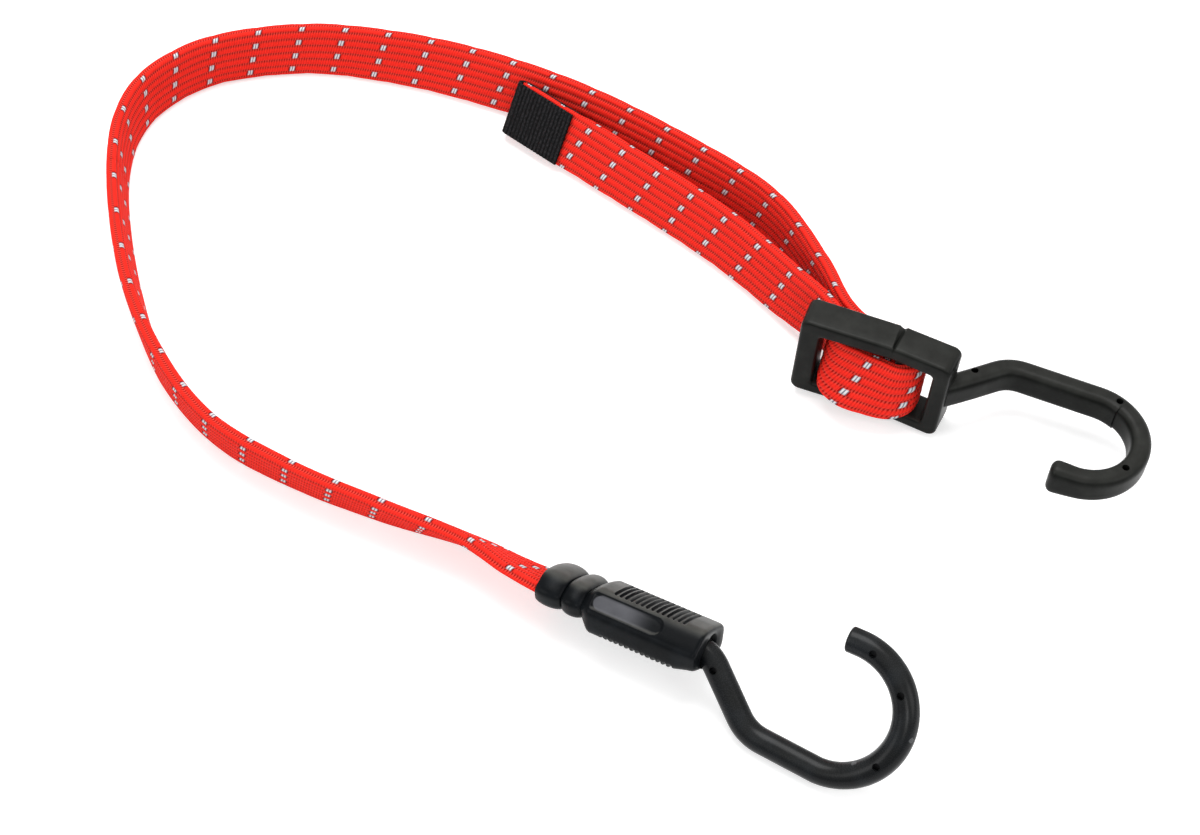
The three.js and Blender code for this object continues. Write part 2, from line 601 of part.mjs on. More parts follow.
addPiece('strap_sleeve', strapSleeve(), { color: 0xd22a22, roughness: 0.85 });
for (let i = 0; i < STRAND_COUNT; i += 1) {
  addPiece(`rubber_strand_${i + 1}`, rubberStrand(i), { color: 0xc8a97a, roughness: 0.6 });
}
addPiece('end_tab', endTab(), { color: 0x141416, roughness: 0.9 });
addPiece('strap_clamp', strapClamp(), { color: 0xa9adb2, roughness: 0.4, metalness: 1 }, gripSeat);
addPiece('hand_grip', handGrip(), { color: 0x17181a, roughness: 0.55 }, gripSeat);
addPiece('grip_hook_jacket', gripHookJacket(), { color: 0x17181a, roughness: 0.4 }, gripSeat);
addPiece('grip_hook_core', gripHookCore(), { color: 0xa9adb2, roughness: 0.4, metalness: 1 }, gripSeat);
addPiece('buckle_hook', buckleHook(), { color: 0x17181a, roughness: 0.45 }, buckleSeat);
addPiece('buckle_hook_core', buckleHookCore(), { color: 0xa9adb2, roughness: 0.4, metalness: 1 }, buckleSeat);

export default model;
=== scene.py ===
"""Dresses a packed bungee cord: a woven flat strap, a ribbed hand grip, two hooks and a buckle."""

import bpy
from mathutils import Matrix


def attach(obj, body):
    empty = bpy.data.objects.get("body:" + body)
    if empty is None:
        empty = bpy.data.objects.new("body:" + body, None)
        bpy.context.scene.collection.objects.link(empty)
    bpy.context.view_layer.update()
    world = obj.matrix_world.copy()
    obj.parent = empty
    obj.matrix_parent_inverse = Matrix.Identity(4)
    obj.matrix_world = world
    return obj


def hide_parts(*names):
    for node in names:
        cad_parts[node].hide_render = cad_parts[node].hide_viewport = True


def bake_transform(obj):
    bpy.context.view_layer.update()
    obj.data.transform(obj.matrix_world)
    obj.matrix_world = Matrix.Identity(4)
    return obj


bl_info = {
    "name": "Bungee Cord",
    "version": (1, 0, 0),
    "blender": (4, 5, 0),
    "location": "View3D > Sidebar > Bungee",
    "description": "Models and finishes a flat bungee cord on its packed frame",
    "category": "Object",
}

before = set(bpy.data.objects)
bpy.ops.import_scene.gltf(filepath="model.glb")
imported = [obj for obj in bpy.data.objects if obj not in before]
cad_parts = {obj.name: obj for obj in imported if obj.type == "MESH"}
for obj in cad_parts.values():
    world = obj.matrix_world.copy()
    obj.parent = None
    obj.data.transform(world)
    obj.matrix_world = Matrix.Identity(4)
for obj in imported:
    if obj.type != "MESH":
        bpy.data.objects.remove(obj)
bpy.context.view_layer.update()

import math
from bisect import bisect_right

import bmesh
import bpy
from bpy.props import FloatProperty, FloatVectorProperty, IntProperty, PointerProperty
from mathutils import Matrix, Vector

MM = 0.001
UP = Vector((0, 0, 1))
MERGE = 1e-6

# The strap's middle line in metres, from inside the grip round the loop, through the buckle and
# along the tail, with the lean of its top edge to the left of travel in degrees.
ROUTE = (
    (-0.0618, -0.0273, 0.0134, 45), (-0.0758, -0.0196, 0.0123, 45), (-0.0881, -0.0129, 0.0113, 45),
    (-0.0984, -0.0067, 0.0105, 40), (-0.1114, 0.0019, 0.0101, 30), (-0.1389, 0.013, 0.0105, 18),
    (-0.1659, 0.0256, 0.0105, 13), (-0.1914, 0.0422, 0.0105, 8), (-0.2102, 0.0662, 0.0105, 2),
    (-0.224, 0.0985, 0.0106, 6), (-0.2342, 0.145, 0.0105, 3), (-0.234, 0.1677, 0.0105, 3),
    (-0.2288, 0.182, 0.0105, 4), (-0.2185, 0.1931, 0.0105, 4), (-0.2052, 0.2003, 0.0105, 4),
    (-0.1753, 0.2049, 0.0106, 8), (-0.1458, 0.2009, 0.0106, 15), (-0.117, 0.1923, 0.0105, 21),
    (-0.084, 0.1772, 0.0106, 20), (-0.05, 0.155, 0.0106, 18), (-0.0182, 0.1291, 0.0106, 9),
    (-0.0038, 0.1031, 0.0118, 2), (0.003, 0.0808, 0.015, 3), (0.0079, 0.0732, 0.0159, 4),
    (0.0144, 0.0688, 0.0159, 4), (0.0205, 0.0662, 0.0157, 4), (0.024, 0.0627, 0.0157, 4),
    (0.024, 0.0585, 0.0159, 3), (0.0215, 0.0541, 0.0161, -5), (0.0158, 0.0524, 0.0163, -15),
    (0.0092, 0.0544, 0.0167, -26), (0.0026, 0.0575, 0.017, -31), (-0.0019, 0.0617, 0.0172, -20),
    (-0.0025, 0.0668, 0.017, -6), (-0.0006, 0.0714, 0.0167, -4), (-0.0013, 0.0772, 0.0161, -6),
    (-0.0144, 0.0962, 0.0119, -18), (-0.0348, 0.1199, 0.0105, -24), (-0.0788, 0.1581, 0.0102, -30),
    (-0.1005, 0.1763, 0.0102, -30),
)
GRIP_MOUTH = 2
LEFT_BEND = 10
BAR_TURN = 27

# Where the grip and the buckle sit in the frame
GRIP_SEAT = (
    Matrix.Translation((-0.0881, -0.0129, 0.0113))
    @ Matrix.Rotation(math.radians(-28.7), 4, "Z")
    @ Matrix.Rotation(math.radians(-4), 4, "Y")
    @ Matrix.Rotation(math.radians(45), 4, "X")
)
BUCKLE_SEAT = (
    Matrix.Translation((0.011, 0.0621, 0.0165))
    @ Matrix.Rotation(math.radians(-20.5), 4, "Z")
    @ Matrix.Rotation(math.radians(-4), 4, "X")
    @ Matrix.Rotation(math.radians(2), 4, "Y")
)


# Sizes and colours

def length_value(name, description, default, least):
    """A property for a length in metres."""
    return FloatProperty(
        name=name, description=description, default=default, min=least,
        subtype="DISTANCE", unit="LENGTH",
    )


def colour_value(name, description, *default):
    """A property for a colour."""
    return FloatVectorProperty(
        name=name, description=description, default=default, min=0, max=1, size=3, subtype="COLOR",
    )


class StrapSizes(bpy.types.PropertyGroup):
    """Sizes of the woven strap and its end tab."""

    width: length_value("Strap Width", "Width of the flat strap", 0.02, least=0.01)
    thickness: length_value(
        "Strap Thickness", "Thickness over the ribs of both faces", 0.0045, least=0.001)
    ribs: IntProperty(name="Ribs", description="Lengthwise ribs on each face", default=8, min=2)
    rib_height: length_value("Rib Height", "Depth of the valley between two ribs", 0.00055, least=0)
    ring_step: length_value(
        "Ring Step", "Distance between the rings of the strap's mesh", 0.00125, least=0.0005)
    strand: length_value("Strand Size", "Diameter of a rubber strand", 0.0017, least=0.0005)
    tab_length: length_value("Tab Length", "Length of the folded tab on the tail", 0.022, least=0.005)
    tab_height: length_value("Tab Height", "Width of the tab's webbing", 0.019, least=0.005)
    tab_thickness: length_value("Tab Thickness", "Thickness of the tab's webbing", 0.0012, least=0.0003)


class MouldingSizes(bpy.types.PropertyGroup):
    """Sizes of the grip, the hooks and the buckle."""

    grip_length: length_value("Grip Length", "Length of the hand grip", 0.0515, least=0.03)
    grip_ribs: IntProperty(
        name="Grip Grooves", description="Grooves across each wide face of the grip", default=14, min=1)
    jacket_radius: length_value(
        "Jacket Radius", "Radius of the lower hook's round jacket", 0.0038, least=0.001)
    pin_hole: length_value(
        "Pin Hole Radius", "Radius of the moulding-pin holes in the hooks", 0.0012, least=0.0003)
    frame_edge: length_value("Frame Edge", "Rounding of the buckle frame's edges", 0.0012, least=0.0002)


class FinishColours(bpy.types.PropertyGroup):
    """Colours of the cord's finishes."""

    sleeve: colour_value("Sleeve", "Red of the woven sleeve", 0.86, 0.026, 0.016)
    # Painted shade: the darker red laid in the gaps between threads and the valleys between ribs
    sleeve_shade: colour_value(
        "Sleeve Shade", "Red between the threads and the ribs", 0.29, 0.004, 0.003)
    # Painted highlight: the paler red on the thread tops in the rib valleys
    sleeve_valley_glint: colour_value(
        "Sleeve Knot", "Paler red where the threads of two ribs cross", 1.0, 0.15, 0.11)
    tracer: colour_value("Tracer", "Silvery tracer thread", 0.68, 0.66, 0.68)
    # Painted shade: the tracer's darker colour in its hollows
    tracer_shade: colour_value("Tracer Shade", "Tracer thread in its hollows", 0.16, 0.18, 0.22)
    plastic: colour_value("Plastic", "Cool black of the grip and the lower hook", 0.0034, 0.0041, 0.0049)
    buckle: colour_value("Buckle", "Warmer black of the buckle", 0.0042, 0.0047, 0.0041)
    # Painted light: the paler tone laid in patches on the faces that look up, standing in for the light
    # from above
    top_light: colour_value("Painted Top Light", "Dust on the upper faces of the mouldings", 0.075, 0.0745, 0.069)
    # Partly wear and partly painted reflection: the paler tone of the grip's bare panel
    wear_and_sheen: colour_value("Wear And Sheen", "Worn plastic of the grip's bare panel", 0.1, 0.101, 0.112)
    nick: colour_value("Nick", "Worn spots of the lower hook", 0.07, 0.072, 0.075)
    webbing: colour_value("Webbing", "Black of the end tab", 0.003, 0.003, 0.0032)
    latex: colour_value("Latex", "Rubber of the strands", 0.56, 0.4, 0.2)
    steel: colour_value("Steel", "Steel of the hook cores and the clip", 0.55, 0.56, 0.58)


class StageSettings(bpy.types.PropertyGroup):
    """Camera and floor."""

    lens: FloatProperty(
        name="Lens", description="Focal length on a 36 mm wide sensor", default=66.5, min=10)
    camera_place: FloatVectorProperty(
        name="Camera Place", description="Where the camera stands",
        default=(-0.0738, -0.3494, 0.5632), size=3, subtype="XYZ")
    camera_target: FloatVectorProperty(
        name="Camera Target", description="What the camera looks at",
        default=(-0.0738, 0.0543, 0.0002), size=3, subtype="XYZ")
    floor: colour_value("Floor", "Pale colour of the floor", 0.78, 0.78, 0.78)


# Points and shares

def vec(*mm):
    """A point given in millimetres."""
    return Vector([part * MM for part in mm])


def shares(steps, first=0):
    """Even shares of a whole up to 1, from the one numbered first."""
    return [i / steps for i in range(first, steps + 1)]


def between(a, b, part):
    return a + (b - a) * part


def smooth_step(value):
    """Runs smoothly from 0 at 0 to 1 at 1."""
    value = min(max(value, 0), 1)
    return value * value * (3 - 2 * value)


def direction(points, i):
    """The way a line of points runs at its point i."""
    return (points[min(i + 1, len(points) - 1)] - points[max(i - 1, 0)]).normalized()


def side_points(a, b, count):
    """The points that cut the span from a to b into count parts."""
    return [a.lerp(b, i / count) for i in range(1, count)]


def rounded_loop(box, radius, per_corner, fill):
    """Points anticlockwise round a box with round corners; fill gives those along a side."""
    left, right, low, high = box
    points = []
    for quarter, (x, y) in enumerate(((right, high), (left, high), (left, low), (right, low))):
        cx = x - math.copysign(radius, x)
        cy = y - math.copysign(radius, y)
        arc = []
        for part in shares(per_corner):
            turn = (quarter + part) * math.pi / 2
            arc.append(Vector((cx + radius * math.cos(turn), cy + radius * math.sin(turn))))
        if points:
            points += fill(points[-1], arc[0])
        points += arc
    points += fill(points[-1], points[0])
    return points


def rounded_box(wide, tall, radius, per_corner, per_side=1):
    """The loop of a box about the middle, with each side cut into per_side parts."""
    box = (-wide / 2, wide / 2, -tall / 2, tall / 2)
    return rounded_loop(box, radius, per_corner, lambda a, b: side_points(a, b, per_side))


def resample(points, count, closed=True):
    """Spaces count points evenly along a line of points."""
    line = list(points) + ([points[0]] if closed else [])
    lengths = [0.0]
    for a, b in zip(line, line[1:]):
        lengths.append(lengths[-1] + (b - a).length)
    steps = count if closed else count - 1
    spaced = []
    for i in range(count):
        want = lengths[-1] * i / steps
        k = min(bisect_right(lengths, want), len(line) - 1)
        span = lengths[k] - lengths[k - 1]
        part = (want - lengths[k - 1]) / span if span else 0
        spaced.append(line[k - 1].lerp(line[k], part))
    return spaced


# Meshes

def skin_into(mesh, rings, wrap=False, place_uv=None):
    """Wraps a grid round a row of closed rings; wrap joins the last ring to the first."""
    around = len(rings[0])
    rows = len(rings) if wrap else len(rings) - 1
    made = bmesh.ops.create_grid(mesh, x_segments=around, y_segments=rows, size=0.5)["verts"]
    spots = {}
    for vert in made:
        spots[vert] = (round((vert.co.x + 0.5) * around), round((vert.co.y + 0.5) * rows))
    for vert, (column, row) in spots.items():
        vert.co = rings[row % len(rings)][column % around]
    if place_uv:
        layer = mesh.loops.layers.uv.verify()
        for face in {face for vert in made for face in vert.link_faces}:
            strip = min(spots[loop.vert][0] for loop in face.loops)
            for loop in face.loops:
                column, row = spots[loop.vert]
                loop[layer].uv = place_uv(column, row, strip)
    bmesh.ops.remove_doubles(mesh, verts=made, dist=MERGE)


def close_ends(mesh):
    """Shuts every open ring with one flat face."""
    edges = [edge for edge in mesh.edges if edge.is_boundary]
    if edges:
        for face in bmesh.ops.holes_fill(mesh, edges=edges, sides=0)["faces"]:
            face.smooth = False


def make_piece(name, mesh, material, crease=None):
    """Turns a bmesh into an object at the origin, smooth apart from edges sharper than crease."""
    close_ends(mesh)
    bmesh.ops.recalc_face_normals(mesh, faces=mesh.faces[:])
    smooth_by_angle(mesh, crease)
    data = bpy.data.meshes.new(name)
    mesh.to_mesh(data)
    mesh.free()
    piece = bpy.data.objects.new(name, data)
    bpy.context.scene.collection.objects.link(piece)
    if material:
        data.materials.append(material)
    return piece


def skinned(name, rings, material, crease=None, wrap=False, place_uv=None):
    """A piece made of one row of rings, with a UV map for its weave where place_uv gives one."""
    mesh = bmesh.new()
    if place_uv:
        mesh.loops.layers.uv.new("weave")
    skin_into(mesh, rings, wrap, place_uv)
    return make_piece(name, mesh, material, crease)


def smooth_by_angle(mesh, crease):
    """Shades faces smooth and edges over crease sharp; without one, only end faces stay flat."""
    for face in mesh.faces:
        face.smooth = len(face.verts) <= 4 or crease is not None
    if crease is None:
        return
    limit = math.radians(crease)
    for edge in mesh.edges:
        edge.smooth = edge.calc_face_angle(0) < limit


def combine(target, tools, operation, crease):
    """Joins tools to a closed piece, or cuts them from it, and leaves one plain mesh."""
    for tool in tools:
        step = target.modifiers.new(operation.lower(), "BOOLEAN")
        step.operation = operation
        step.solver = "EXACT"
        step.object = tool
    graph = bpy.context.evaluated_depsgraph_get()
    plain = bpy.data.meshes.new_from_object(target.evaluated_get(graph))
    target.modifiers.clear()
    target.data = plain
    for tool in tools:
        bpy.data.objects.remove(tool)
    mesh = bmesh.new()
    mesh.from_mesh(plain)
    bmesh.ops.remove_doubles(mesh, verts=mesh.verts[:], dist=MERGE)
    smooth_by_angle(mesh, crease)
    mesh.to_mesh(plain)
    mesh.free()


# Strap

# How square the strap's section is, the points on each of its ribs and how full a rib is
SECTION_SHAPE = 2 / 4.6
SECTION_STEPS = 600
PER_RIB = 6
RIB_FULLNESS = 0.75

# The weave on its UV map, in millimetres: width of a face, where the inner face starts, length of a
# stitch, slant of a thread; then the stitches from one row of tracer stitches to the next, the
# first row and the share by which a row draws the strap in
UV_WIDTH = 20
INNER_FACE_UV = 100
STITCH_PITCH = 0.882
THREAD_SLANT = -0.9
ROW_STITCHES = 17
ROW_FIRST = 16
TRACER_TUCK = 0.022

# How far the threads of each stretch lie ahead, in millimetres at its start, middle and end
THREAD_SHIFTS = {"lower": (4.4, 3, 0.3), "upper": (0.3, 0, 0), "tail": (17.1, 8.9, 10.6)}

# How far the strap goes into the grip and the tab, and how the tab's stitching presses its end
INSIDE_GRIP = 5 * MM
TAIL_OVERLAP = 1.6 * MM
TAIL_SEWN = 0.58
SEWN_AHEAD = 6 * MM
SEWN_SPAN = 7 * MM

# The rubber strands: sides of one, bare edge of the strap, and ring steps between their rings
STRAND_SIDES = 8
STRAND_EDGE = 1 * MM
STRAND_STEPS = 4


def route_point(k, part):
    """A point on the centripetal curve between the route's points k and k + 1."""
    knots = [Vector(point[:3]) for point in ROUTE]
    p1, p2 = knots[k], knots[k + 1]
    p0 = knots[k - 1] if k else 2 * p1 - p2
    p3 = knots[k + 2] if k + 2 < len(knots) else 2 * p2 - p1
    d0, d1, d2 = (math.sqrt((b - a).length) for a, b in ((p0, p1), (p1, p2), (p2, p3)))
    m1 = ((p1 - p0) / d0 - (p2 - p0) / (d0 + d1) + (p2 - p1) / d1) * d1
    m2 = ((p2 - p1) / d1 - (p3 - p1) / (d1 + d2) + (p3 - p2) / d2) * d1
    square = part * part
    cube = square * part
    return (
        p1 + m1 * part + (3 * (p2 - p1) - 2 * m1 - m2) * square + (2 * (p1 - p2) + m1 + m2) * cube
    )


class StrapLine:
    """The strap's middle line, read by distance from its fixed end."""

    FINE = 40
    REACH = 0.4 * MM

    def __init__(self):
        self.points = []
        self.leans = []
        for k in range(len(ROUTE) - 1):
            for i in range(self.FINE):
                part = i / self.FINE
                self.points.append(route_point(k, part))
                self.leans.append(between(ROUTE[k][3], ROUTE[k + 1][3], part))
        self.points.append(Vector(ROUTE[-1][:3]))
        self.leans.append(ROUTE[-1][3])
        self.marks = [0.0]
        for a, b in zip(self.points, self.points[1:]):
            self.marks.append(self.marks[-1] + (b - a).length)

    @property
    def length(self):
        return self.marks[-1]

    def mark(self, k):
        """Distance along the strap at the route's point k."""
        return self.marks[k * self.FINE]

    def at(self, distance):
        k = min(max(bisect_right(self.marks, distance), 1), len(self.marks) - 1)
        part = (distance - self.marks[k - 1]) / (self.marks[k] - self.marks[k - 1])
        lean = between(self.leans[k - 1], self.leans[k], part)
        return self.points[k - 1].lerp(self.points[k], part), lean

    def frame(self, distance):
        """Place, travel, side and up of the strap's section."""
        place, lean = self.at(distance)
        along = (self.at(distance + self.REACH)[0] - self.at(distance - self.REACH)[0]).normalized()
        left = Vector((-along.y, along.x, 0)).normalized()
        up = left * math.sin(math.radians(lean)) + UP * math.cos(math.radians(lean))
        up = (up - along * up.dot(along)).normalized()
        return place, along, up.cross(along), up

    def frames(self, start, end, step):
        count = max(2, round((end - start) / step))
        marks = [start + (end - start) * i / count for i in range(count + 1)]
        return marks, [self.frame(mark) for mark in marks]


def strap_outline(sizes):
    """The ribbed section: down the outer face from the top edge and up the inner face."""
    half = []
    for i in range(SECTION_STEPS + 1):
        turn = math.pi * i / SECTION_STEPS
        flat = math.sin(turn) ** SECTION_SHAPE if 0 < i < SECTION_STEPS else 0.0
        height = math.copysign(abs(math.cos(turn)) ** SECTION_SHAPE, math.cos(turn)) * sizes.width / 2
        half.append(Vector((sizes.thickness / 2 * flat, height)))
    half = resample(half, sizes.ribs * PER_RIB + 1, closed=False)
    ribbed = []
    for i, point in enumerate(half):
        run = direction(half, i)
        swell = abs(math.sin(math.pi * i / PER_RIB)) ** RIB_FULLNESS - 1
        ribbed.append(point + Vector((-run.y, run.x)) * sizes.rib_height * swell)
    ribbed[0].x = 0
    ribbed[-1].x = 0
    return ribbed[:-1] + [Vector((-p.x, p.y)) for p in reversed(ribbed[1:])]


def sewn_share(mark, line, sizes):
    """How thick the strap still is: the tab's stitching presses its end together."""
    begin = line.length - sizes.tab_length - SEWN_AHEAD
    return 1 - (1 - TAIL_SEWN) * smooth_step((mark - begin) / SEWN_SPAN)


def section_ring(cut, outline, share, front):
    """The strap's section at one cut, pressed towards its front face by share."""
    place, _, side, up = cut
    return [place + side * (front - (front - u) * share) + up * v for u, v in outline]


def run_spans(line):
    """Start and end of each stretch of the strap."""
    mouth, bend, bar = (line.mark(k) for k in (GRIP_MOUTH, LEFT_BEND, BAR_TURN))
    return {
        "lower": (mouth - INSIDE_GRIP, bend),
        "upper": (bend, bar),
        "tail": (bar, line.length + TAIL_OVERLAP),
    }


def thread_shift(word, part):
    first, middle, last = THREAD_SHIFTS[word]
    if part < 0.5:
        return between(first, middle, 2 * part)
    return between(middle, last, 2 * part - 1)


def tracer_tuck(thread):
    """Share of the strap's width that is left where a row of tracer threads draws it in."""
    row = (thread / STITCH_PITCH - ROW_FIRST) / ROW_STITCHES
    return 1 - TRACER_TUCK * (1 - abs(math.sin(math.pi * row))) ** 2


def strap_run(word, line, sizes, material):
    """One stretch of the woven sleeve, with its threads measured in millimetres on a UV map."""
    start, end = run_spans(line)[word]
    outline = strap_outline(sizes)
    marks, cuts = line.frames(start, end, sizes.ring_step)
    half = len(outline) // 2
    front = sizes.thickness / 2
    threads, rings = [], []
    for i, (mark, cut) in enumerate(zip(marks, cuts)):
        threads.append(mark / MM + thread_shift(word, i / (len(marks) - 1)))
        tuck = tracer_tuck(threads[-1])
        tucked = [Vector((p.x, p.y * tuck)) for p in outline]
        rings.append(section_ring(cut, tucked, sewn_share(mark, line, sizes), front))

    def place_uv(column, row, strip):
        if strip < half:
            return (UV_WIDTH * column / half, threads[row])
        return (INNER_FACE_UV + UV_WIDTH * (2 - column / half), threads[row])

    piece = skinned(f"strap_{word}_run", rings, material, place_uv=place_uv)
    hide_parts("strap_sleeve")
    return piece


def strand_run(word, line, sizes, material):
    """The rubber strands inside one stretch of the sleeve."""
    start, end = run_spans(line)[word]
    marks, cuts = line.frames(start, end, STRAND_STEPS * sizes.ring_step)
    pitch = (sizes.width - 2 * STRAND_EDGE) / sizes.ribs
    radius = sizes.strand / 2
    front = sizes.thickness / 2
    turns = [math.tau * (i + 0.5) / STRAND_SIDES for i in range(STRAND_SIDES)]
    mesh = bmesh.new()
    for i in range(sizes.ribs):
        offset = (i - (sizes.ribs - 1) / 2) * pitch
        outline = [Vector((radius * math.cos(t), offset + radius * math.sin(t))) for t in turns]
        rings = []
        for mark, cut in zip(marks, cuts):
            rings.append(section_ring(cut, outline, sewn_share(mark, line, sizes), front))
        skin_into(mesh, rings)
    piece = make_piece(f"rubber_strands_{word}", mesh, material)
    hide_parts(*[f"rubber_strand_{i + 1}" for i in range(sizes.ribs)])
    return piece


def declare_cord(word, line, sizes):
    """Works out where the sections of one stretch of the strap lie, and keeps nothing."""
    start, end = run_spans(line)[word]
    _, cuts = line.frames(start, end, sizes.ring_step)
    [tuple(cut[0]) for cut in cuts]


class BUNGEE_OT_strap(bpy.types.Operator):
    """Weave the strap and lay its rubber strands inside it"""

    bl_idname = "bungee.strap"
    bl_label = "Woven Strap"

    def execute(self, context):
        sizes = context.scene.bungee_strap
        colours = context.scene.bungee_colours
        line = StrapLine()
        sleeve = woven_sleeve(colours, sizes)
        latex = rubber_latex(colours)
        for word in run_spans(line):
            run = strap_run(word, line, sizes, sleeve)
            strands = strand_run(word, line, sizes, latex)
            for piece in (run, strands):
                if word == "lower":
                    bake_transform(piece)
                else:
                    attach(piece, "strap")
            if word != "tail":
                declare_cord(word, line, sizes)
        return {"FINISHED"}


# End tab

# The tab's webbing: its ribs and warp threads in millimetres, how far its cut ends thin out, its edge
TAB_RIB_PITCH = 1.45
TAB_WARP_PITCH = 0.55
TAB_RIB_HEIGHT = 0.45
TAB_RIB_FULLNESS = 0.7
TAB_END_SHARES = (0.55, 0.85)
TAB_EDGE = 0.25 * MM

# Its fold: room round the strap, how far it goes past the strap's end, how far before that end the
# strap's direction is read, and the rows of its mesh
TAB_ROOM = 0.15 * MM
TAB_FOLD = 0.3 * MM
TAB_SHIFT = 0.8 * MM
TAB_AIM = 0.5 * MM
TAB_FOLD_STEPS = 24
TAB_ROWS = 260


def tab_seat(line):
    """Where the tab sits: on the strap's end, with x along the strap and z up."""
    _, along, side, up = line.frame(line.length - TAB_AIM)
    place = Vector(ROUTE[-1][:3]) + along * TAB_SHIFT
    return Matrix((
        (along.x, side.x, up.x, place.x), (along.y, side.y, up.y, place.y),
        (along.z, side.z, up.z, place.z), (0, 0, 0, 1),
    ))


def tab_fold(sizes):
    """The middle line of the tab's webbing, round the strap's pressed end."""
    half = sizes.thickness / 2
    middle = half * (1 - TAIL_SEWN)
    reach = half * TAIL_SEWN + TAB_ROOM + sizes.tab_thickness / 2
    path = [Vector((-sizes.tab_length, middle + reach, 0))]
    for part in shares(TAB_FOLD_STEPS):
        turn = math.pi / 2 - math.pi * part
        path.append(Vector((TAB_FOLD + reach * math.cos(turn), middle + reach * math.sin(turn), 0)))
    path.append(Vector((-sizes.tab_length, middle - reach, 0)))
    return resample(path, TAB_ROWS, closed=False)


def tab_section(sizes, thick):
    return rounded_box(thick, sizes.tab_height, TAB_EDGE, 2, 8)


class BUNGEE_OT_tab(bpy.types.Operator):
    """Fold the ribbed webbing tab over the end of the tail"""

    bl_idname = "bungee.tab"
    bl_label = "End Tab"

    def execute(self, context):
        sizes = context.scene.bungee_strap
        line = StrapLine()
        seat = tab_seat(line)
        path = tab_fold(sizes)
        last = len(path) - 1
        distance = 0.0
        rings, marks = [], []
        for i, point in enumerate(path):
            run = direction(path, i)
            out = Vector((-run.y, run.x, 0))
            rib = abs(math.sin(math.pi * distance / (TAB_RIB_PITCH * MM))) ** TAB_RIB_FULLNESS - 1
            end = min(i, last - i)
            share = TAB_END_SHARES[end] if end < len(TAB_END_SHARES) else 1
            outline = tab_section(sizes, sizes.tab_thickness * share + TAB_RIB_HEIGHT * MM * rib)
            rings.append([seat @ (point + out * p.x + UP * p.y) for p in outline])
            marks.append(distance / MM)
            distance += (path[min(i + 1, last)] - point).length
        heights = [p.y / MM for p in tab_section(sizes, sizes.tab_thickness)]

        def place_uv(column, row, strip):
            return (heights[column % len(heights)], marks[row])

        webbing = tab_webbing(context.scene.bungee_colours)
        tab = skinned("end_tab_webbing", rings, webbing, crease=50, place_uv=place_uv)
        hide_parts("end_tab")
        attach(tab, "strap")
        declare_cord("tail", line, sizes)
        return {"FINISHED"}


# Hooks

# A hook's bends, the fall of a step in its bowl, its rounded tip, the points over which the tip
# grows fuller, its crease in degrees and the narrowing of its pin holes
SOFT_BEND = 5 * MM
BEND_STEPS = 12
BOWL_STEPS = 60
STEP_FALL = 0.15 * MM
NOSE_STEPS = 6
FLARE_POINTS = 9
HOOK_CREASE = 40
PIN_TAPER = 0.85


def hook_line(root, bend, kink, bowl, radius, tip, back, step):
    """A hook's middle line in its own XY plane, spaced evenly: shank, two soft bends, bowl and tip."""
    top = Vector((bowl.x, bowl.y + back * radius, 0))
    points = [root.copy()]
    for before, corner, after in ((root, bend, kink), (bend, kink, top)):
        a = corner + (before - corner).normalized() * SOFT_BEND
        b = corner + (after - corner).normalized() * SOFT_BEND
        for t in shares(BEND_STEPS):
            points.append(a * (1 - t) ** 2 + corner * 2 * t * (1 - t) + b * t ** 2)
    for part in shares(BOWL_STEPS):
        turn = back * math.pi * (0.5 - part)
        points.append(bowl + Vector((math.cos(turn), math.sin(turn), 0)) * radius)
    points.append(Vector((bowl.x - tip, bowl.y - back * radius, 0)))
    length = sum((b - a).length for a, b in zip(points, points[1:]))
    return resample(points, round(length / step) + 1, closed=False)


def hook_rings(points, outline, nose, thick_until=-1, thicker=0, flare=0):
    """Sections square to a hook's line, with a rounded edge of radius nose at its tip.

    Up to the point thick_until the wall inside the bowl is thicker, and it ends there in a step.
    Towards the tip the sections grow by the share flare.
    """
    rings = []
    last = len(points) - 1
    for i, point in enumerate(points):
        along = direction(points, i)
        side = UP.cross(along)
        if i <= thick_until:
            rings.append([point + side * (p.x - thicker * (p.x < 0)) + UP * p.y for p in outline])
        if i == thick_until:
            point = point + along * STEP_FALL
        if i >= thick_until:
            full = 1 + flare * smooth_step((i - last) / FLARE_POINTS + 1)
            rings.append([point + (side * p.x + UP * p.y) * full for p in outline])
    outline = [p * (1 + flare) for p in outline]
    wide, tall = (max(abs(p[k]) for p in outline) for k in (0, 1))
    for part in shares(NOSE_STEPS, 1):
        turn = math.pi / 2 * part
        drawn_in = nose * (1 - math.cos(turn))
        centre = points[-1] + along * nose * math.sin(turn)
        narrow, low = 1 - drawn_in / wide, 1 - drawn_in / tall
        rings.append([centre + side * p.x * narrow + UP * p.y * low for p in outline])
    return rings


def on_bowl(bowl, radius, angle):
    turn = math.radians(angle)
    return bowl.x + radius * math.cos(turn), bowl.y + radius * math.sin(turn)


def sink_pins(hook, places, hole, bottom, top):
    """Sinks round moulding-pin holes from the top down, narrower towards the bottom."""
    cutters = []
    depth = top - bottom
    for x, y in places:
        mesh = bmesh.new()
        bmesh.ops.create_cone(
            mesh, cap_ends=True, segments=20, radius1=hole * PIN_TAPER, radius2=hole, depth=depth,
            matrix=Matrix.Translation((x, y, bottom + depth / 2)),
        )
        cutters.append(make_piece("pin_hole_cutter", mesh, None, crease=30))
    combine(hook, cutters, "DIFFERENCE", HOOK_CREASE)


def seat_on(piece, seat, body, node):
    """Applies a piece's place to its mesh and hangs it on its body."""
    piece.data.transform(seat)
    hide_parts(node)
    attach(piece, body)


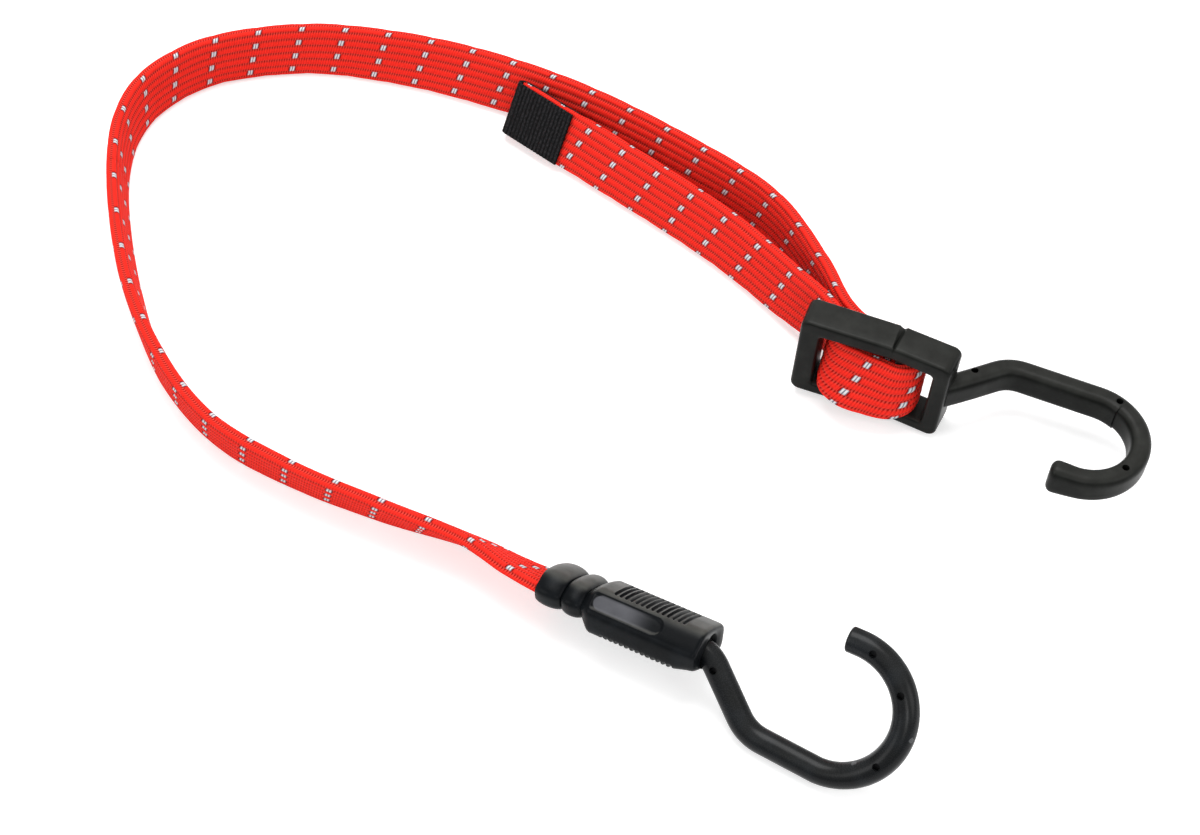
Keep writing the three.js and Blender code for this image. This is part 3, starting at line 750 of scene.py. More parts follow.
# The lower hook's line from the middle of the grip's end, its section and its pin holes
LOWER_RADIUS = 19.3 * MM
LOWER_ROOT = vec(-5, 0, 0)
LOWER_BEND = vec(0.2, 0, 0)
LOWER_KINK = vec(18, -17.7, 0)
LOWER_BOWL = vec(40.2, 0, 0)
LOWER_TIP = 2.5 * MM
LOWER_STEP = 0.7 * MM
LOWER_NOSE = 0.9 * MM
LOWER_SIDES = 36
LOWER_SEAM = 0.1 * MM
LOWER_PIN = vec(4, -3.8)
LOWER_PIN_ANGLES = (-33, 34, 75)
LOWER_PIN_DEPTH = 2.2 * MM


class BUNGEE_OT_lower_hook(bpy.types.Operator):
    """Bend the grip's round hook and sink its moulding-pin holes"""

    bl_idname = "bungee.lower_hook"
    bl_label = "Lower Hook"

    def execute(self, context):
        sizes = context.scene.bungee_mouldings
        colours = context.scene.bungee_colours
        end = Vector((sizes.grip_length, 0, 0))
        bowl = end + LOWER_BOWL
        line = hook_line(
            end + LOWER_ROOT, end + LOWER_BEND, end + LOWER_KINK, bowl, LOWER_RADIUS, LOWER_TIP,
            back=-1, step=LOWER_STEP,
        )
        outline = []
        for i in range(LOWER_SIDES):
            turn = math.tau * i / LOWER_SIDES
            reach = sizes.jacket_radius + (LOWER_SEAM if i % (LOWER_SIDES // 2) == 0 else 0)
            outline.append(Vector((reach * math.cos(turn), reach * math.sin(turn))))
        # The lower hook's faces that look up are painted paler: painted light from above
        plastic = moulded_plastic(
            "hook_black", colours.plastic, colours, gloss=0.27, shine=0.13,
            top_light=painted_top_light_group("painted_top_light", UP), top_light_share=0.14, chips=True,
        )
        rings = hook_rings(line, outline, LOWER_NOSE)
        hook = skinned("lower_hook_jacket", rings, plastic, HOOK_CREASE)
        pins = [end.xy + LOWER_PIN]
        pins += [on_bowl(bowl, LOWER_RADIUS, angle) for angle in LOWER_PIN_ANGLES]
        wall = sizes.jacket_radius
        sink_pins(hook, pins, sizes.pin_hole, wall - LOWER_PIN_DEPTH, wall + MM)
        seat_on(hook, GRIP_SEAT, "grip", "grip_hook_jacket")
        return {"FINISHED"}


# Grip

# The grip's full section: half its width and thickness, and half the width of its flat faces
GRIP_AROUND = 144
HALF_WIDE = 12 * MM
HALF_THICK = 7.4 * MM
FLAT_HALF = 8 * MM
CORNER_CUTS = 3
CORNER_SHARE = 0.2

# The beads in millimetres: middle, half length, where the bead starts as a share of that, and swell
BEADS = ((3.74, 4.4, -0.85, 0.1), (11.4, 3.26, -1, -0.1))
BEAD_STEPS = 16
BEAD_FULL = 0.97
BEAD_DROP = 2
BEAD_THICK, BEAD_WIDE = 6.6, 11.9
BEAD_ROUNDNESS = 0.2

# In millimetres: place, half thickness and half width of the neck and the shoulder, and the end
NECK = (14.7, 5.1, 10.5)
SHOULDER = (18.2, 7.3, 12.1)
SHOULDER_STEPS = 7
BODY_STEPS = 150
END_THICK, END_WIDE = 7.4, 11.9
END_ROUND = 1.3
END_DROP = 1.1
END_STEPS = 5

# The grooves; the last two say how far out they run and from which share of the thickness
GROOVE_START = 22.5 * MM
GROOVE_PITCH = 1.68 * MM
GROOVE_HALF = 0.62 * MM
GROOVE_DEEP = 1.05 * MM
GROOVE_END = 0.8 * MM
GROOVE_FADE = 0.1
GROOVE_UPPER = (FLAT_HALF - 0.2 * MM, 0.8)
GROOVE_UNDER = (9.3 * MM, 0.62)

# The bare panel: its ends along the grip, half its width, its depth and the slope of its edges
PANEL_LEFT = 17.4 * MM
PANEL_RIGHT = 37 * MM
PANEL_HALF = 2.5 * MM
PANEL_DEEP = 0.55 * MM
PANEL_EDGE = 0.4 * MM
PANEL_END = 0.5 * MM

# How much slimmer the underside is at the beads and at the hook: amount, start and span as shares
SLIM_BEADS = (0.22, 0.28, 0.08)
SLIM_END = (0.24, 0.84, 0.16)

# The strap's slot: room, corner as a share of the strap's thickness, and depths in millimetres
SLOT_ROOM = 0.3 * MM
SLOT_CORNER = 0.36
SLOT_DEPTHS = (7, 4, 1.2, 0.5)


def facet_edges(thick, wide, flat):
    """The edges of the facet between the grip's narrow side and its flat face."""
    return Vector((thick * 0.16, wide * 0.985)), Vector((thick * 0.82, flat * 1.14))


def grip_section(thick, wide, roundness):
    """The grip's eight-sided section as y and z, softened towards an oval by roundness."""
    flat = FLAT_HALF * wide / HALF_WIDE
    quarter = [
        Vector((0, wide)), *facet_edges(thick, wide, flat), Vector((thick * 0.96, flat * 0.86)),
        Vector((thick, flat * 0.4)), Vector((thick * 1.02, 0)),
    ]
    points = []
    for part, corner in zip(shares(len(quarter) - 1), quarter):
        turn = math.pi / 2 * part
        oval = Vector((thick * math.sin(turn), wide * math.cos(turn)))
        points.append(corner.lerp(oval, roundness))
    half = points + [Vector((p.x, -p.y)) for p in reversed(points[:-1])]
    loop = half + [Vector((-p.x, p.y)) for p in reversed(half[1:-1])]
    for _ in range(CORNER_CUTS):
        loop = cut_corners(loop)
    return from_top(loop)


def cut_corners(loop):
    softer = []
    for i, point in enumerate(loop):
        after = loop[(i + 1) % len(loop)]
        softer += [point.lerp(after, CORNER_SHARE), point.lerp(after, 1 - CORNER_SHARE)]
    return softer


def from_top(loop):
    """The loop from the middle of its top on, spaced evenly."""
    start = max(range(len(loop)), key=lambda i: loop[i].y - abs(loop[i].x) * 1e-3)
    return resample(loop[start:] + loop[:start], GRIP_AROUND)


def grip_profile(length):
    """Stations along the grip: place, half thickness, half width and roundness."""
    stations = []
    for centre, half, first, swell in BEADS:
        for share in shares(BEAD_STEPS):
            part = between(first, 1, share)
            drop = BEAD_DROP * (1 - math.sqrt(1 - (part * BEAD_FULL) ** 2))
            thick, wide = BEAD_THICK + swell - drop, BEAD_WIDE + swell - drop * 0.9
            stations.append((centre + part * half, thick, wide, BEAD_ROUNDNESS))
    for part in shares(SHOULDER_STEPS, 1):
        ease = math.sin(part * math.pi / 2)
        eased = [between(a, b, share) for a, b, share in zip(NECK, SHOULDER, (part, ease, ease))]
        stations.append((*eased, BEAD_ROUNDNESS * (1 - part)))
    body = (length / MM - END_ROUND, END_THICK, END_WIDE)
    for part in shares(BODY_STEPS, 1):
        stations.append((*[between(a, b, part) for a, b in zip(SHOULDER, body)], 0))
    for part in shares(END_STEPS, 1):
        turn = math.pi / 2 * part
        drop = END_DROP * (1 - math.cos(turn))
        stations.append((body[0] + END_ROUND * math.sin(turn), END_THICK - drop, END_WIDE - drop, 0))
    return stations


def groove_depth(x, point, count):
    """How deep the grip grooves are sunk at a point of its wide faces."""
    near = round((x - GROOVE_START) / GROOVE_PITCH)
    if not 0 <= near < count:
        return 0
    off = abs(x - GROOVE_START - near * GROOVE_PITCH) / GROOVE_HALF
    reach, edge = GROOVE_UNDER if point.x < 0 else GROOVE_UPPER
    end = smooth_step((reach - abs(point.y)) / GROOVE_END)
    face = smooth_step((abs(point.x) / HALF_THICK - edge) / GROOVE_FADE)
    return GROOVE_DEEP * max(0, 1 - off ** 3) * end * face


def panel_depth(x, point):
    """How deep the bare panel is sunk in the facet beside the upper ribbed face."""
    if point.x <= 0 or point.y <= 0:
        return 0
    a, b = facet_edges(HALF_THICK, HALF_WIDE, FLAT_HALF)
    across = abs((point - (a + b) / 2).dot((b - a).normalized()))
    gap = PANEL_HALF - math.hypot(across, max(0, x - PANEL_RIGHT))
    return PANEL_DEEP * smooth_step(gap / PANEL_EDGE) * smooth_step((x - PANEL_LEFT) / PANEL_END)


def under_share(part):
    """How full the grip's underside is along its length: slim at the beads and eased at the hook."""
    amount, start, span = SLIM_BEADS
    beads = amount * (1 - smooth_step((part - start) / span))
    amount, start, span = SLIM_END
    return 1 - beads - amount * smooth_step((part - start) / span)


class BUNGEE_OT_grip(bpy.types.Operator):
    """Mould the hand grip with its beads, grooves, bare panel, strap slot and hook cup"""

    bl_idname = "bungee.grip"
    bl_label = "Hand Grip"

    def execute(self, context):
        sizes = context.scene.bungee_mouldings
        colours = context.scene.bungee_colours
        length = sizes.grip_length
        rings = self.slot_rings(context.scene.bungee_strap)
        for x, thick, wide, roundness in grip_profile(length):
            section = grip_section(thick * MM, wide * MM, roundness)
            rings.append(self.sunk(x * MM, section, sizes.grip_ribs, length))
        rings += self.cup_rings(length, sizes.jacket_radius)
        wide_face = GRIP_SEAT.to_3x3() @ Vector((0, 1, 0))
        # The grip's upper wide face is painted paler: painted light from above
        plastic = moulded_plastic(
            "grip_black", colours.plastic, colours, gloss=0.34, shine=0.06,
            top_light=painted_top_light_group("wide_face_top_light", wide_face), top_light_share=1.0, wear_and_sheen=panel_wear_and_reflection,
        )
        grip = skinned("grip_moulding", rings, plastic, crease=60)
        seat_on(grip, GRIP_SEAT, "grip", "hand_grip")
        return {"FINISHED"}

    @staticmethod
    def slot_rings(strap):
        """The slot's walls from its bottom to its mouth, turning the way the grip's sections do."""
        thick, wide = strap.thickness + 2 * SLOT_ROOM, strap.width + 2 * SLOT_ROOM
        outline = from_top(rounded_box(thick, wide, strap.thickness * SLOT_CORNER, 6, 12))
        if outline[4].x < 0:
            outline = [outline[0]] + outline[:0:-1]
        return [[Vector((x * MM, p.x, p.y)) for p in outline] for x in SLOT_DEPTHS]

    @staticmethod
    def sunk(x, section, grooves, length):
        """A section with its grooves and panel sunk and its underside slimmed."""
        ring = []
        for i, point in enumerate(section):
            run = (section[(i + 1) % len(section)] - section[i - 1]).normalized()
            out = Vector((-run.y, run.x))
            if out.dot(point) < 0:
                out.negate()
            point = point - out * (groove_depth(x, point, grooves) + panel_depth(x, point))
            share = under_share(x / length) if point.x < 0 else 1
            ring.append(Vector((x, point.x * share, point.y)))
        return ring

    @staticmethod
    def cup_rings(length, jacket):
        """The cup that the hook's jacket stands in, as depth in millimetres and radius."""
        cup = (
            (0, 5.5 * MM), (0.35, 5.2 * MM), (5, jacket + 0.4 * MM), (5.2, jacket + 0.3 * MM),
        )
        turns = [math.tau * i / GRIP_AROUND for i in range(GRIP_AROUND)]
        rings = []
        for depth, radius in cup:
            x = length - depth * MM
            rings.append([Vector((x, radius * math.sin(t), radius * math.cos(t))) for t in turns])
        return rings


# Buckle

# The buckle's frame: half its length, half its clear height, its depth, its bars and its corners
FRAME_HALF = 24.25 * MM
FRAME_CLEAR = 10.9 * MM
FRAME_DEPTH = 11 * MM
LEFT_BAR = 6.5 * MM
RIGHT_BAR = 5.2 * MM
TOP_RAIL = 5.2 * MM
LOW_RAIL = 4.2 * MM
OUTER_CORNER = 2.6 * MM
INNER_CORNER = 1.5 * MM
CORNER_STEPS = 8

# The bend of its rails, with the points about it in millimetres, and the V notch on top of it
BEND_X = 5.2 * MM
BEND = math.radians(-6.5)
BEND_STOPS = (-0.9, -0.45, 0, 0.45, 0.9)
RAIL_PARTS = 9
BAR_PARTS = 16
NOTCH_DEEP = 0.95 * MM
NOTCH_HALF = 0.85 * MM
NOTCH_ABOVE = 12 * MM

# The cross bar
BAR_RADIUS = 2.4 * MM
BAR_LENGTH = 25.8 * MM
BAR_PLACE = vec(8, 2, 0)

# The upper hook: its line, its section, the step inside its bowl, its fuller tip and its pin holes
UPPER_RADIUS = 16.7 * MM
UPPER_BOWL = vec(66.9, -3.3, 0)
UPPER_BEND = vec(6, 5.2, 0)
UPPER_KINK = vec(39, 14.2, 0)
UPPER_TIP = 7.1 * MM
UPPER_NOSE = 2.2 * MM
UPPER_SPACING = 0.8 * MM
UPPER_THICK, UPPER_TALL = 6.4 * MM, 10 * MM
UPPER_EDGE = 2.5 * MM
UPPER_SEAM = 0.12 * MM
SEAM_HALF = 0.3 * MM
BOWL_STEP_ANGLE = 62
BOWL_STEP = 0.5 * MM
TIP_FLARE = 0.07
UPPER_PIN = vec(29.4, 6.4)
UPPER_PIN_ANGLES = (66, -34)
UPPER_PIN_BOTTOM = 2.4 * MM
UPPER_PIN_TOP = 6 * MM


def bent(point):
    """Turns what lies past the frame's bend towards the viewer."""
    if point.x <= BEND_X:
        return point
    turned = Matrix.Rotation(BEND, 3, "Z") @ (point - Vector((BEND_X, 0, 0)))
    return turned + Vector((BEND_X, 0, 0))


def frame_loops():
    """The buckle frame's outer and inner outlines, point for point, as x and z."""
    outer = (-FRAME_HALF, FRAME_HALF, -FRAME_CLEAR - LOW_RAIL, FRAME_CLEAR + TOP_RAIL)
    inner = (-FRAME_HALF + LEFT_BAR, FRAME_HALF - RIGHT_BAR, -FRAME_CLEAR, FRAME_CLEAR)
    return [
        rounded_loop(box, radius, CORNER_STEPS, rail_points)
        for box, radius in ((outer, OUTER_CORNER), (inner, INNER_CORNER))
    ]


def rail_points(a, b):
    """Points along one side of the frame, closer together about the bend of its rails."""
    if abs(a.x - b.x) < abs(a.y - b.y):
        return side_points(a, b, BAR_PARTS)
    stops = [BEND_X + stop * MM for stop in BEND_STOPS]
    if b.x < a.x:
        stops.reverse()
    parts = shares(RAIL_PARTS, 1)[:-1]
    before = [between(a.x, stops[0], part) for part in parts]
    after = [between(stops[-1], b.x, part) for part in parts]
    return [Vector((x, a.y)) for x in before + stops + after]


def frame_rings(edge):
    """Sections of the frame between its two outlines, with a V notch across the top rail."""
    rings = []
    for out, into in zip(*frame_loops()):
        if out.y > NOTCH_ABOVE:
            sunk = NOTCH_DEEP * max(0, 1 - abs(out.x - BEND_X) / NOTCH_HALF)
            out = Vector((out.x, out.y - sunk))
        run = out - into
        section = rounded_box(run.length, FRAME_DEPTH, min(edge, run.length * 0.4), 5, 4)
        middle = (out + into) / 2
        way = run.normalized()
        ring = []
        for p in section:
            place = middle + way * p.x
            ring.append(bent(Vector((place.x, p.y, place.y))))
        rings.append(ring)
    return rings


class BUNGEE_OT_buckle(bpy.types.Operator):
    """Mould the buckle: bent frame, cross bar and tall hook in one piece"""

    bl_idname = "bungee.buckle"
    bl_label = "Buckle and Upper Hook"

    def execute(self, context):
        sizes = context.scene.bungee_mouldings
        colours = context.scene.bungee_colours
        # The buckle's faces that look up are painted paler: painted light from above
        plastic = moulded_plastic(
            "buckle_black", colours.buckle, colours, gloss=0.35, shine=0.08,
            top_light=painted_top_light_group("painted_top_light", UP), top_light_share=0.26,
        )
        rings = frame_rings(sizes.frame_edge)
        buckle = skinned("buckle_moulding", rings, plastic, HOOK_CREASE, wrap=True)
        bar = bmesh.new()
        bmesh.ops.create_cone(
            bar, cap_ends=True, segments=32, radius1=BAR_RADIUS, radius2=BAR_RADIUS,
            depth=BAR_LENGTH, matrix=Matrix.Translation(BAR_PLACE),
        )
        cross_bar = make_piece("cross_bar", bar, plastic, crease=HOOK_CREASE)
        combine(buckle, [cross_bar, self.hook(plastic)], "UNION", HOOK_CREASE)
        pins = [UPPER_PIN]
        pins += [on_bowl(UPPER_BOWL, UPPER_RADIUS, angle) for angle in UPPER_PIN_ANGLES]
        sink_pins(buckle, pins, sizes.pin_hole, UPPER_PIN_BOTTOM, UPPER_PIN_TOP)
        seat_on(buckle, BUCKLE_SEAT, "buckle", "buckle_hook")
        return {"FINISHED"}

    @staticmethod
    def hook(plastic):
        """The tall hook, with its root inside the frame's right bar."""
        root = bent(Vector((FRAME_HALF - RIGHT_BAR / 2, 0, 0)))
        line = hook_line(
            root, root + UPPER_BEND, UPPER_KINK, UPPER_BOWL, UPPER_RADIUS, UPPER_TIP - UPPER_NOSE,
            back=1, step=UPPER_SPACING,
        )
        outline = rounded_box(UPPER_THICK, UPPER_TALL, UPPER_EDGE, 6, 5)
        for p in outline:
            if abs(p.y) < SEAM_HALF:
                p.x += math.copysign(UPPER_SEAM, p.x)
        step_x = on_bowl(UPPER_BOWL, UPPER_RADIUS, BOWL_STEP_ANGLE)[0]
        step = next(i for i, p in enumerate(line) if p.x > step_x)
        rings = hook_rings(line, outline, UPPER_NOSE, step, BOWL_STEP, TIP_FLARE)
        return skinned("upper_hook", rings, plastic, HOOK_CREASE)


class BUNGEE_OT_inner_parts(bpy.types.Operator):
    """Finish the steel hook cores and the pinch clip inside the mouldings"""

    bl_idname = "bungee.inner_parts"
    bl_label = "Steel Inside"

    def execute(self, context):
        steel = drawn_steel(context.scene.bungee_colours)
        for node in ("strap_clamp", "grip_hook_core", "buckle_hook_core"):
            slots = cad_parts[node].data.materials
            slots.clear()
            slots.append(steel)
        return {"FINISHED"}


# Materials

class NodeSheet:
    """Adds nodes to a tree and links them, left to right."""

    def __init__(self, tree):
        self.tree = tree
        self.count = 0

    def add(self, kind, **values):
        node = self.tree.nodes.new(kind)
        node.location = (self.count * 190, 0)
        self.count += 1
        for name, value in values.items():
            setattr(node, name, value)
        return node

    def feed(self, socket, value):
        if isinstance(value, bpy.types.NodeSocket):
            self.tree.links.new(value, socket)
        else:
            socket.default_value = value

    def filled(self, kind, inputs, **values):
        """Adds a node and feeds its inputs, given by name or number."""
        node = self.add(kind, **values)
        for word, value in inputs.items():
            self.feed(node.inputs[word], value)
        return node.outputs

    def math(self, operation, a, b=0.0, c=0.0):
        return self.filled("ShaderNodeMath", {0: a, 1: b, 2: c}, operation=operation)[0]

    def times(self, a, b):
        return self.math("MULTIPLY", a, b)

    def plus(self, a, b):
        return self.math("ADD", a, b)

    def minus(self, a, b):
        return self.math("SUBTRACT", a, b)

    def line(self, value, slope, start):
        """The value times slope, plus start."""
        return self.math("MULTIPLY_ADD", value, slope, start)

    def ridges(self, value, pitch):
        """Runs from 0 up to 1 and back over each pitch."""
        return self.math("ABSOLUTE", self.math("SINE", self.times(value, math.pi / pitch)))

    def vector(self, operation, a, b):
        """Sums or scales vectors, or measures them with DOT_PRODUCT or DISTANCE."""
        second = "Scale" if operation == "SCALE" else 1
        given = self.filled("ShaderNodeVectorMath", {0: a, second: b}, operation=operation)
        return given["Value" if operation in ("DOT_PRODUCT", "DISTANCE") else "Vector"]

    def step(self, value, low, high):
        """Runs smoothly from 0 at low to 1 at high."""
        inputs = {"Value": value, "From Min": low, "From Max": high}
        return self.filled("ShaderNodeMapRange", inputs, interpolation_type="SMOOTHSTEP")["Result"]

    def mix(self, factor, a, b):
        inputs = {"Factor": factor, "A": a, "B": b}
        return self.filled("ShaderNodeMix", inputs, data_type="RGBA")["Result"]

    def noise(self, vector, scale, detail=3.0):
        inputs = {"Vector": vector, "Scale": scale, "Detail": detail}
        return self.filled("ShaderNodeTexNoise", inputs)["Fac"]

    def bump(self, height, strength, distance):
        inputs = {"Strength": strength, "Distance": distance, "Height": height}
        return self.filled("ShaderNodeBump", inputs)["Normal"]

    def weave(self):
        """The place on the weave's UV map, whole and as its two parts."""
        layer = self.add("ShaderNodeUVMap", uv_map="weave").outputs[0]
        across, along, _ = self.filled("ShaderNodeSeparateXYZ", {0: layer})
        return layer, across, along


def colour(value):
    return (value[0], value[1], value[2], 1.0)


def new_material(name, constants):
    """A material with constants on its surface's own sockets, its sheet and that surface's inputs."""
    material = bpy.data.materials.new(name)
    material.use_nodes = True
    surface = material.node_tree.nodes["Principled BSDF"].inputs
    for word, value in constants.items():
        surface[word].default_value = value
    return material, NodeSheet(material.node_tree), surface


def new_group(name, inputs, outputs):
    """An empty node group with float inputs and outputs, and its sheet and end nodes."""
    tree = bpy.data.node_groups.new(name, "ShaderNodeTree")
    for way, words in (("INPUT", inputs), ("OUTPUT", outputs)):
        for word in words:
            tree.interface.new_socket(name=word, in_out=way, socket_type="NodeSocketFloat")
    sheet = NodeSheet(tree)
    return tree, sheet, sheet.add("NodeGroupInput").outputs, sheet.add("NodeGroupOutput").inputs


def fine_grain_group():
    """Uneven fine grain that plastics, rubber and steel share."""
    known = bpy.data.node_groups.get("fine_grain")
    if known:
        return known
    tree, sheet, given, out = new_group("fine_grain", ("Scale",), ("Grain", "Cloud"))
    place = sheet.add("ShaderNodeTexCoord").outputs["Object"]
    grown = sheet.vector("SCALE", place, given["Scale"])
    sheet.feed(out["Grain"], sheet.noise(grown, 1.0, 4.0))
    sheet.feed(out["Cloud"], sheet.noise(place, 140.0))
    return tree


def fine_grain(sheet, scale):
    return sheet.filled("ShaderNodeGroup", {"Scale": scale}, node_tree=fine_grain_group())


def woven_ribs_group(ribs):
    """Reads the strap's UV map in millimetres: slanted stitches, rib valleys and tracer stitches."""
    tree, sheet, _, out = new_group("woven_ribs", (), ("Height", "Shade", "Valley Glint", "Tracer"))
    _, across, along = sheet.weave()
    inner = sheet.math("GREATER_THAN", across, INNER_FACE_UV / 2)
    depth = sheet.minus(across, sheet.times(inner, INNER_FACE_UV))
    rib_place = sheet.times(depth, ribs / UV_WIDTH)
    rib = sheet.math("FLOOR", rib_place)
    local = sheet.minus(sheet.math("FRACT", rib_place), 0.5)
    hand = sheet.minus(1.0, sheet.times(inner, 2.0))
    slant = sheet.times(sheet.times(local, hand), THREAD_SLANT)
    stitch = sheet.math("DIVIDE", sheet.plus(along, slant), STITCH_PITCH)
    thread = sheet.step(sheet.ridges(stitch, 1), 0.3, 0.8)
    gap = sheet.minus(1.0, thread)
    aside = sheet.math("ABSOLUTE", local)
    flank = sheet.step(aside, 0.12, 0.45)
    valley = sheet.step(aside, 0.2, 0.5)
    sheet.feed(out["Height"], sheet.times(thread, sheet.line(valley, -0.6, 1.0)))
    parity = sheet.math("MODULO", sheet.plus(rib, inner), 2.0)
    chosen = sheet.math("GREATER_THAN", parity, 0.5)
    plain = sheet.line(chosen, -0.1, 0.28)
    # Painted shade: the gaps between threads, the flanks of the ribs and the valleys between them darken
    # towards sleeve_shade
    shadow = sheet.times(gap, sheet.line(flank, 0.12, plain))
    shadow = sheet.line(valley, 0.68, shadow)
    # Painted highlight: the thread tops in the rib valleys are painted paler
    sheet.feed(out["Valley Glint"], sheet.times(valley, sheet.math("POWER", thread, 4.0)))
    lean = sheet.line(inner, 0.707, -0.367)
    middle = sheet.times(sheet.plus(rib, 0.5), UV_WIDTH / ribs / STITCH_PITCH)
    slide = sheet.math("FLOOR", sheet.times(middle, lean))
    row = sheet.minus(sheet.plus(stitch, slide), ROW_FIRST)
    row = sheet.math("DIVIDE", row, ROW_STITCHES)
    off = sheet.minus(sheet.math("FRACT", sheet.plus(row, 0.5)), 0.5)
    away = sheet.math("ABSOLUTE", off)
    centred = sheet.times(chosen, sheet.math("LESS_THAN", aside, 0.38))
    dot = sheet.times(sheet.math("LESS_THAN", away, 1.05 / ROW_STITCHES), centred)
    rim = sheet.times(sheet.math("LESS_THAN", away, 1.6 / ROW_STITCHES), centred)
    sheet.feed(out["Tracer"], dot)
    # Shade carries the painted shade of the weave and the dark rims round the tracer stitches
    sheet.feed(out["Shade"], sheet.minus(1.0, sheet.math("MAXIMUM", shadow, rim)))
    return tree


def woven_sleeve(colours, sizes):
    """Red polyester: slanted threads on lengthwise ribs, with silvery tracer stitches."""
    constants = {"Roughness": 0.62, "Specular IOR Level": 0.05}
    material, sheet, surface = new_material("woven_sleeve_red", constants)
    weave = sheet.add("ShaderNodeGroup", node_tree=woven_ribs_group(sizes.ribs)).outputs
    red = sheet.mix(weave["Shade"], colour(colours.sleeve_shade), colour(colours.sleeve))
    # Painted highlight: the thread tops in the valleys are mixed towards the paler sleeve_valley_glint
    # red
    red = sheet.mix(sheet.times(weave["Valley Glint"], 0.35), red, colour(colours.sleeve_valley_glint))
    # Painted shade: the tracer darkens towards tracer_shade where the weave lies low
    silver = sheet.mix(weave["Height"], colour(colours.tracer_shade), colour(colours.tracer))
    sheet.feed(surface["Base Color"], sheet.mix(weave["Tracer"], red, silver))
    sheet.feed(surface["Normal"], sheet.bump(weave["Height"], 0.6, 0.3 * MM))
    return material


def clouded(name, light, darker, grain_scale, relief, constants):
    """A grained material that clouds over between a colour and a darker share of it."""
    material, sheet, surface = new_material(name, constants)
    grain = fine_grain(sheet, grain_scale)
    dark = [darker * part for part in light]
    sheet.feed(surface["Base Color"], sheet.mix(grain["Cloud"], colour(dark), colour(light)))
    sheet.feed(surface["Normal"], sheet.bump(grain["Grain"], *relief))
    return material, sheet, surface, grain


def rubber_latex(colours):
    """Natural latex of the strands."""
    relief = (0.3, 0.1 * MM)
    return clouded("strand_latex", colours.latex, 0.7, 900.0, relief, {"Roughness": 0.6})[0]


def drawn_steel(colours):
    """Plain drawn wire and strip."""
    relief = (0.1, 0.05 * MM)
    material, sheet, surface, grain = clouded(
        "drawn_steel", colours.steel, 0.75, 1800.0, relief, {"Metallic": 1.0})
    sheet.feed(surface["Roughness"], sheet.line(grain["Grain"], 0.2, 0.28))
    return material


def tab_webbing(colours):
    """Black ribbed webbing: ribs across the tab and speckled warp threads, with painted light on the rib
    crests.
    """
    constants = {"Roughness": 0.88, "Specular IOR Level": 0.06}
    material, sheet, surface = new_material("tab_webbing_black", constants)
    layer, across, along = sheet.weave()
    warp = sheet.ridges(across, TAB_WARP_PITCH)
    pick = sheet.ridges(along, TAB_RIB_PITCH)
    speckle = sheet.noise(layer, 1.2, 2.0)
    height = sheet.times(sheet.line(warp, 0.6, 0.4), pick)
    # Painted light: the rib crests are painted up to ten times lighter than the grooves, flecked at
    # random
    light = [10 * part for part in colours.webbing]
    flecks = sheet.line(sheet.step(speckle, 0.4, 0.62), 0.7, 0.3)
    tone = sheet.times(height, flecks)
    sheet.feed(surface["Base Color"], sheet.mix(tone, colour(colours.webbing), colour(light)))
    sheet.feed(surface["Normal"], sheet.bump(sheet.times(height, speckle), 0.9, 0.3 * MM))
    return material


def painted_top_light_group(name, way):
    """Patchy painted light: a paler tone on the faces that look the given way, standing in for the light
    that falls on them.
    """
    known = bpy.data.node_groups.get(name)
    if known:
        return known
    tree, sheet, _, out = new_group(name, (), ("Painted Top Light",))
    place = sheet.add("ShaderNodeTexCoord").outputs
    facing = sheet.step(sheet.vector("DOT_PRODUCT", place["Normal"], way), 0.5, 0.95)
    patches = sheet.line(sheet.noise(place["Object"], 260.0), 0.8, 0.4)
    sheet.feed(out["Painted Top Light"], sheet.times(facing, patches))
    return tree


def moulded_plastic(name, black, colours, gloss, shine, top_light, top_light_share, wear_and_sheen=None, chips=False):
    """Black satin moulding with a faint grain, and as much painted top light as top_light_share says.

    top_light is a node group of painted light on upward faces, wear_and_sheen a mask of a worn place
    painted paler, partly as painted reflection, and chips adds two small nicks.
    """
    material, sheet, surface = new_material(name, {"Specular IOR Level": shine})
    grain = fine_grain(sheet, 2600.0)
    pale = [2.4 * part for part in black]
    cloud = sheet.step(grain["Cloud"], 0.4, 0.75)
    tone = sheet.mix(cloud, colour(black), colour(pale))
    # Painted light: the faces that look up are mixed in patches towards the paler top_light colour
    lit_faces = sheet.add("ShaderNodeGroup", node_tree=top_light).outputs["Painted Top Light"]
    tone = sheet.mix(sheet.times(lit_faces, top_light_share), tone, colour(colours.top_light))
    if wear_and_sheen:
        # The bare panel is mixed towards the wear_and_sheen colour: its wear and a painted reflection of
        # the light above
        worn = sheet.times(wear_and_sheen(sheet), sheet.line(grain["Cloud"], 0.6, 0.45))
        tone = sheet.mix(worn, tone, colour(colours.wear_and_sheen))
    if chips:
        tone = sheet.mix(nick_mask(sheet), tone, colour(colours.nick))
    sheet.feed(surface["Base Color"], tone)
    sheet.feed(surface["Roughness"], sheet.line(grain["Grain"], 0.16, gloss - 0.08))
    sheet.feed(surface["Normal"], sheet.bump(grain["Grain"], 0.12, 0.08 * MM))
    return material


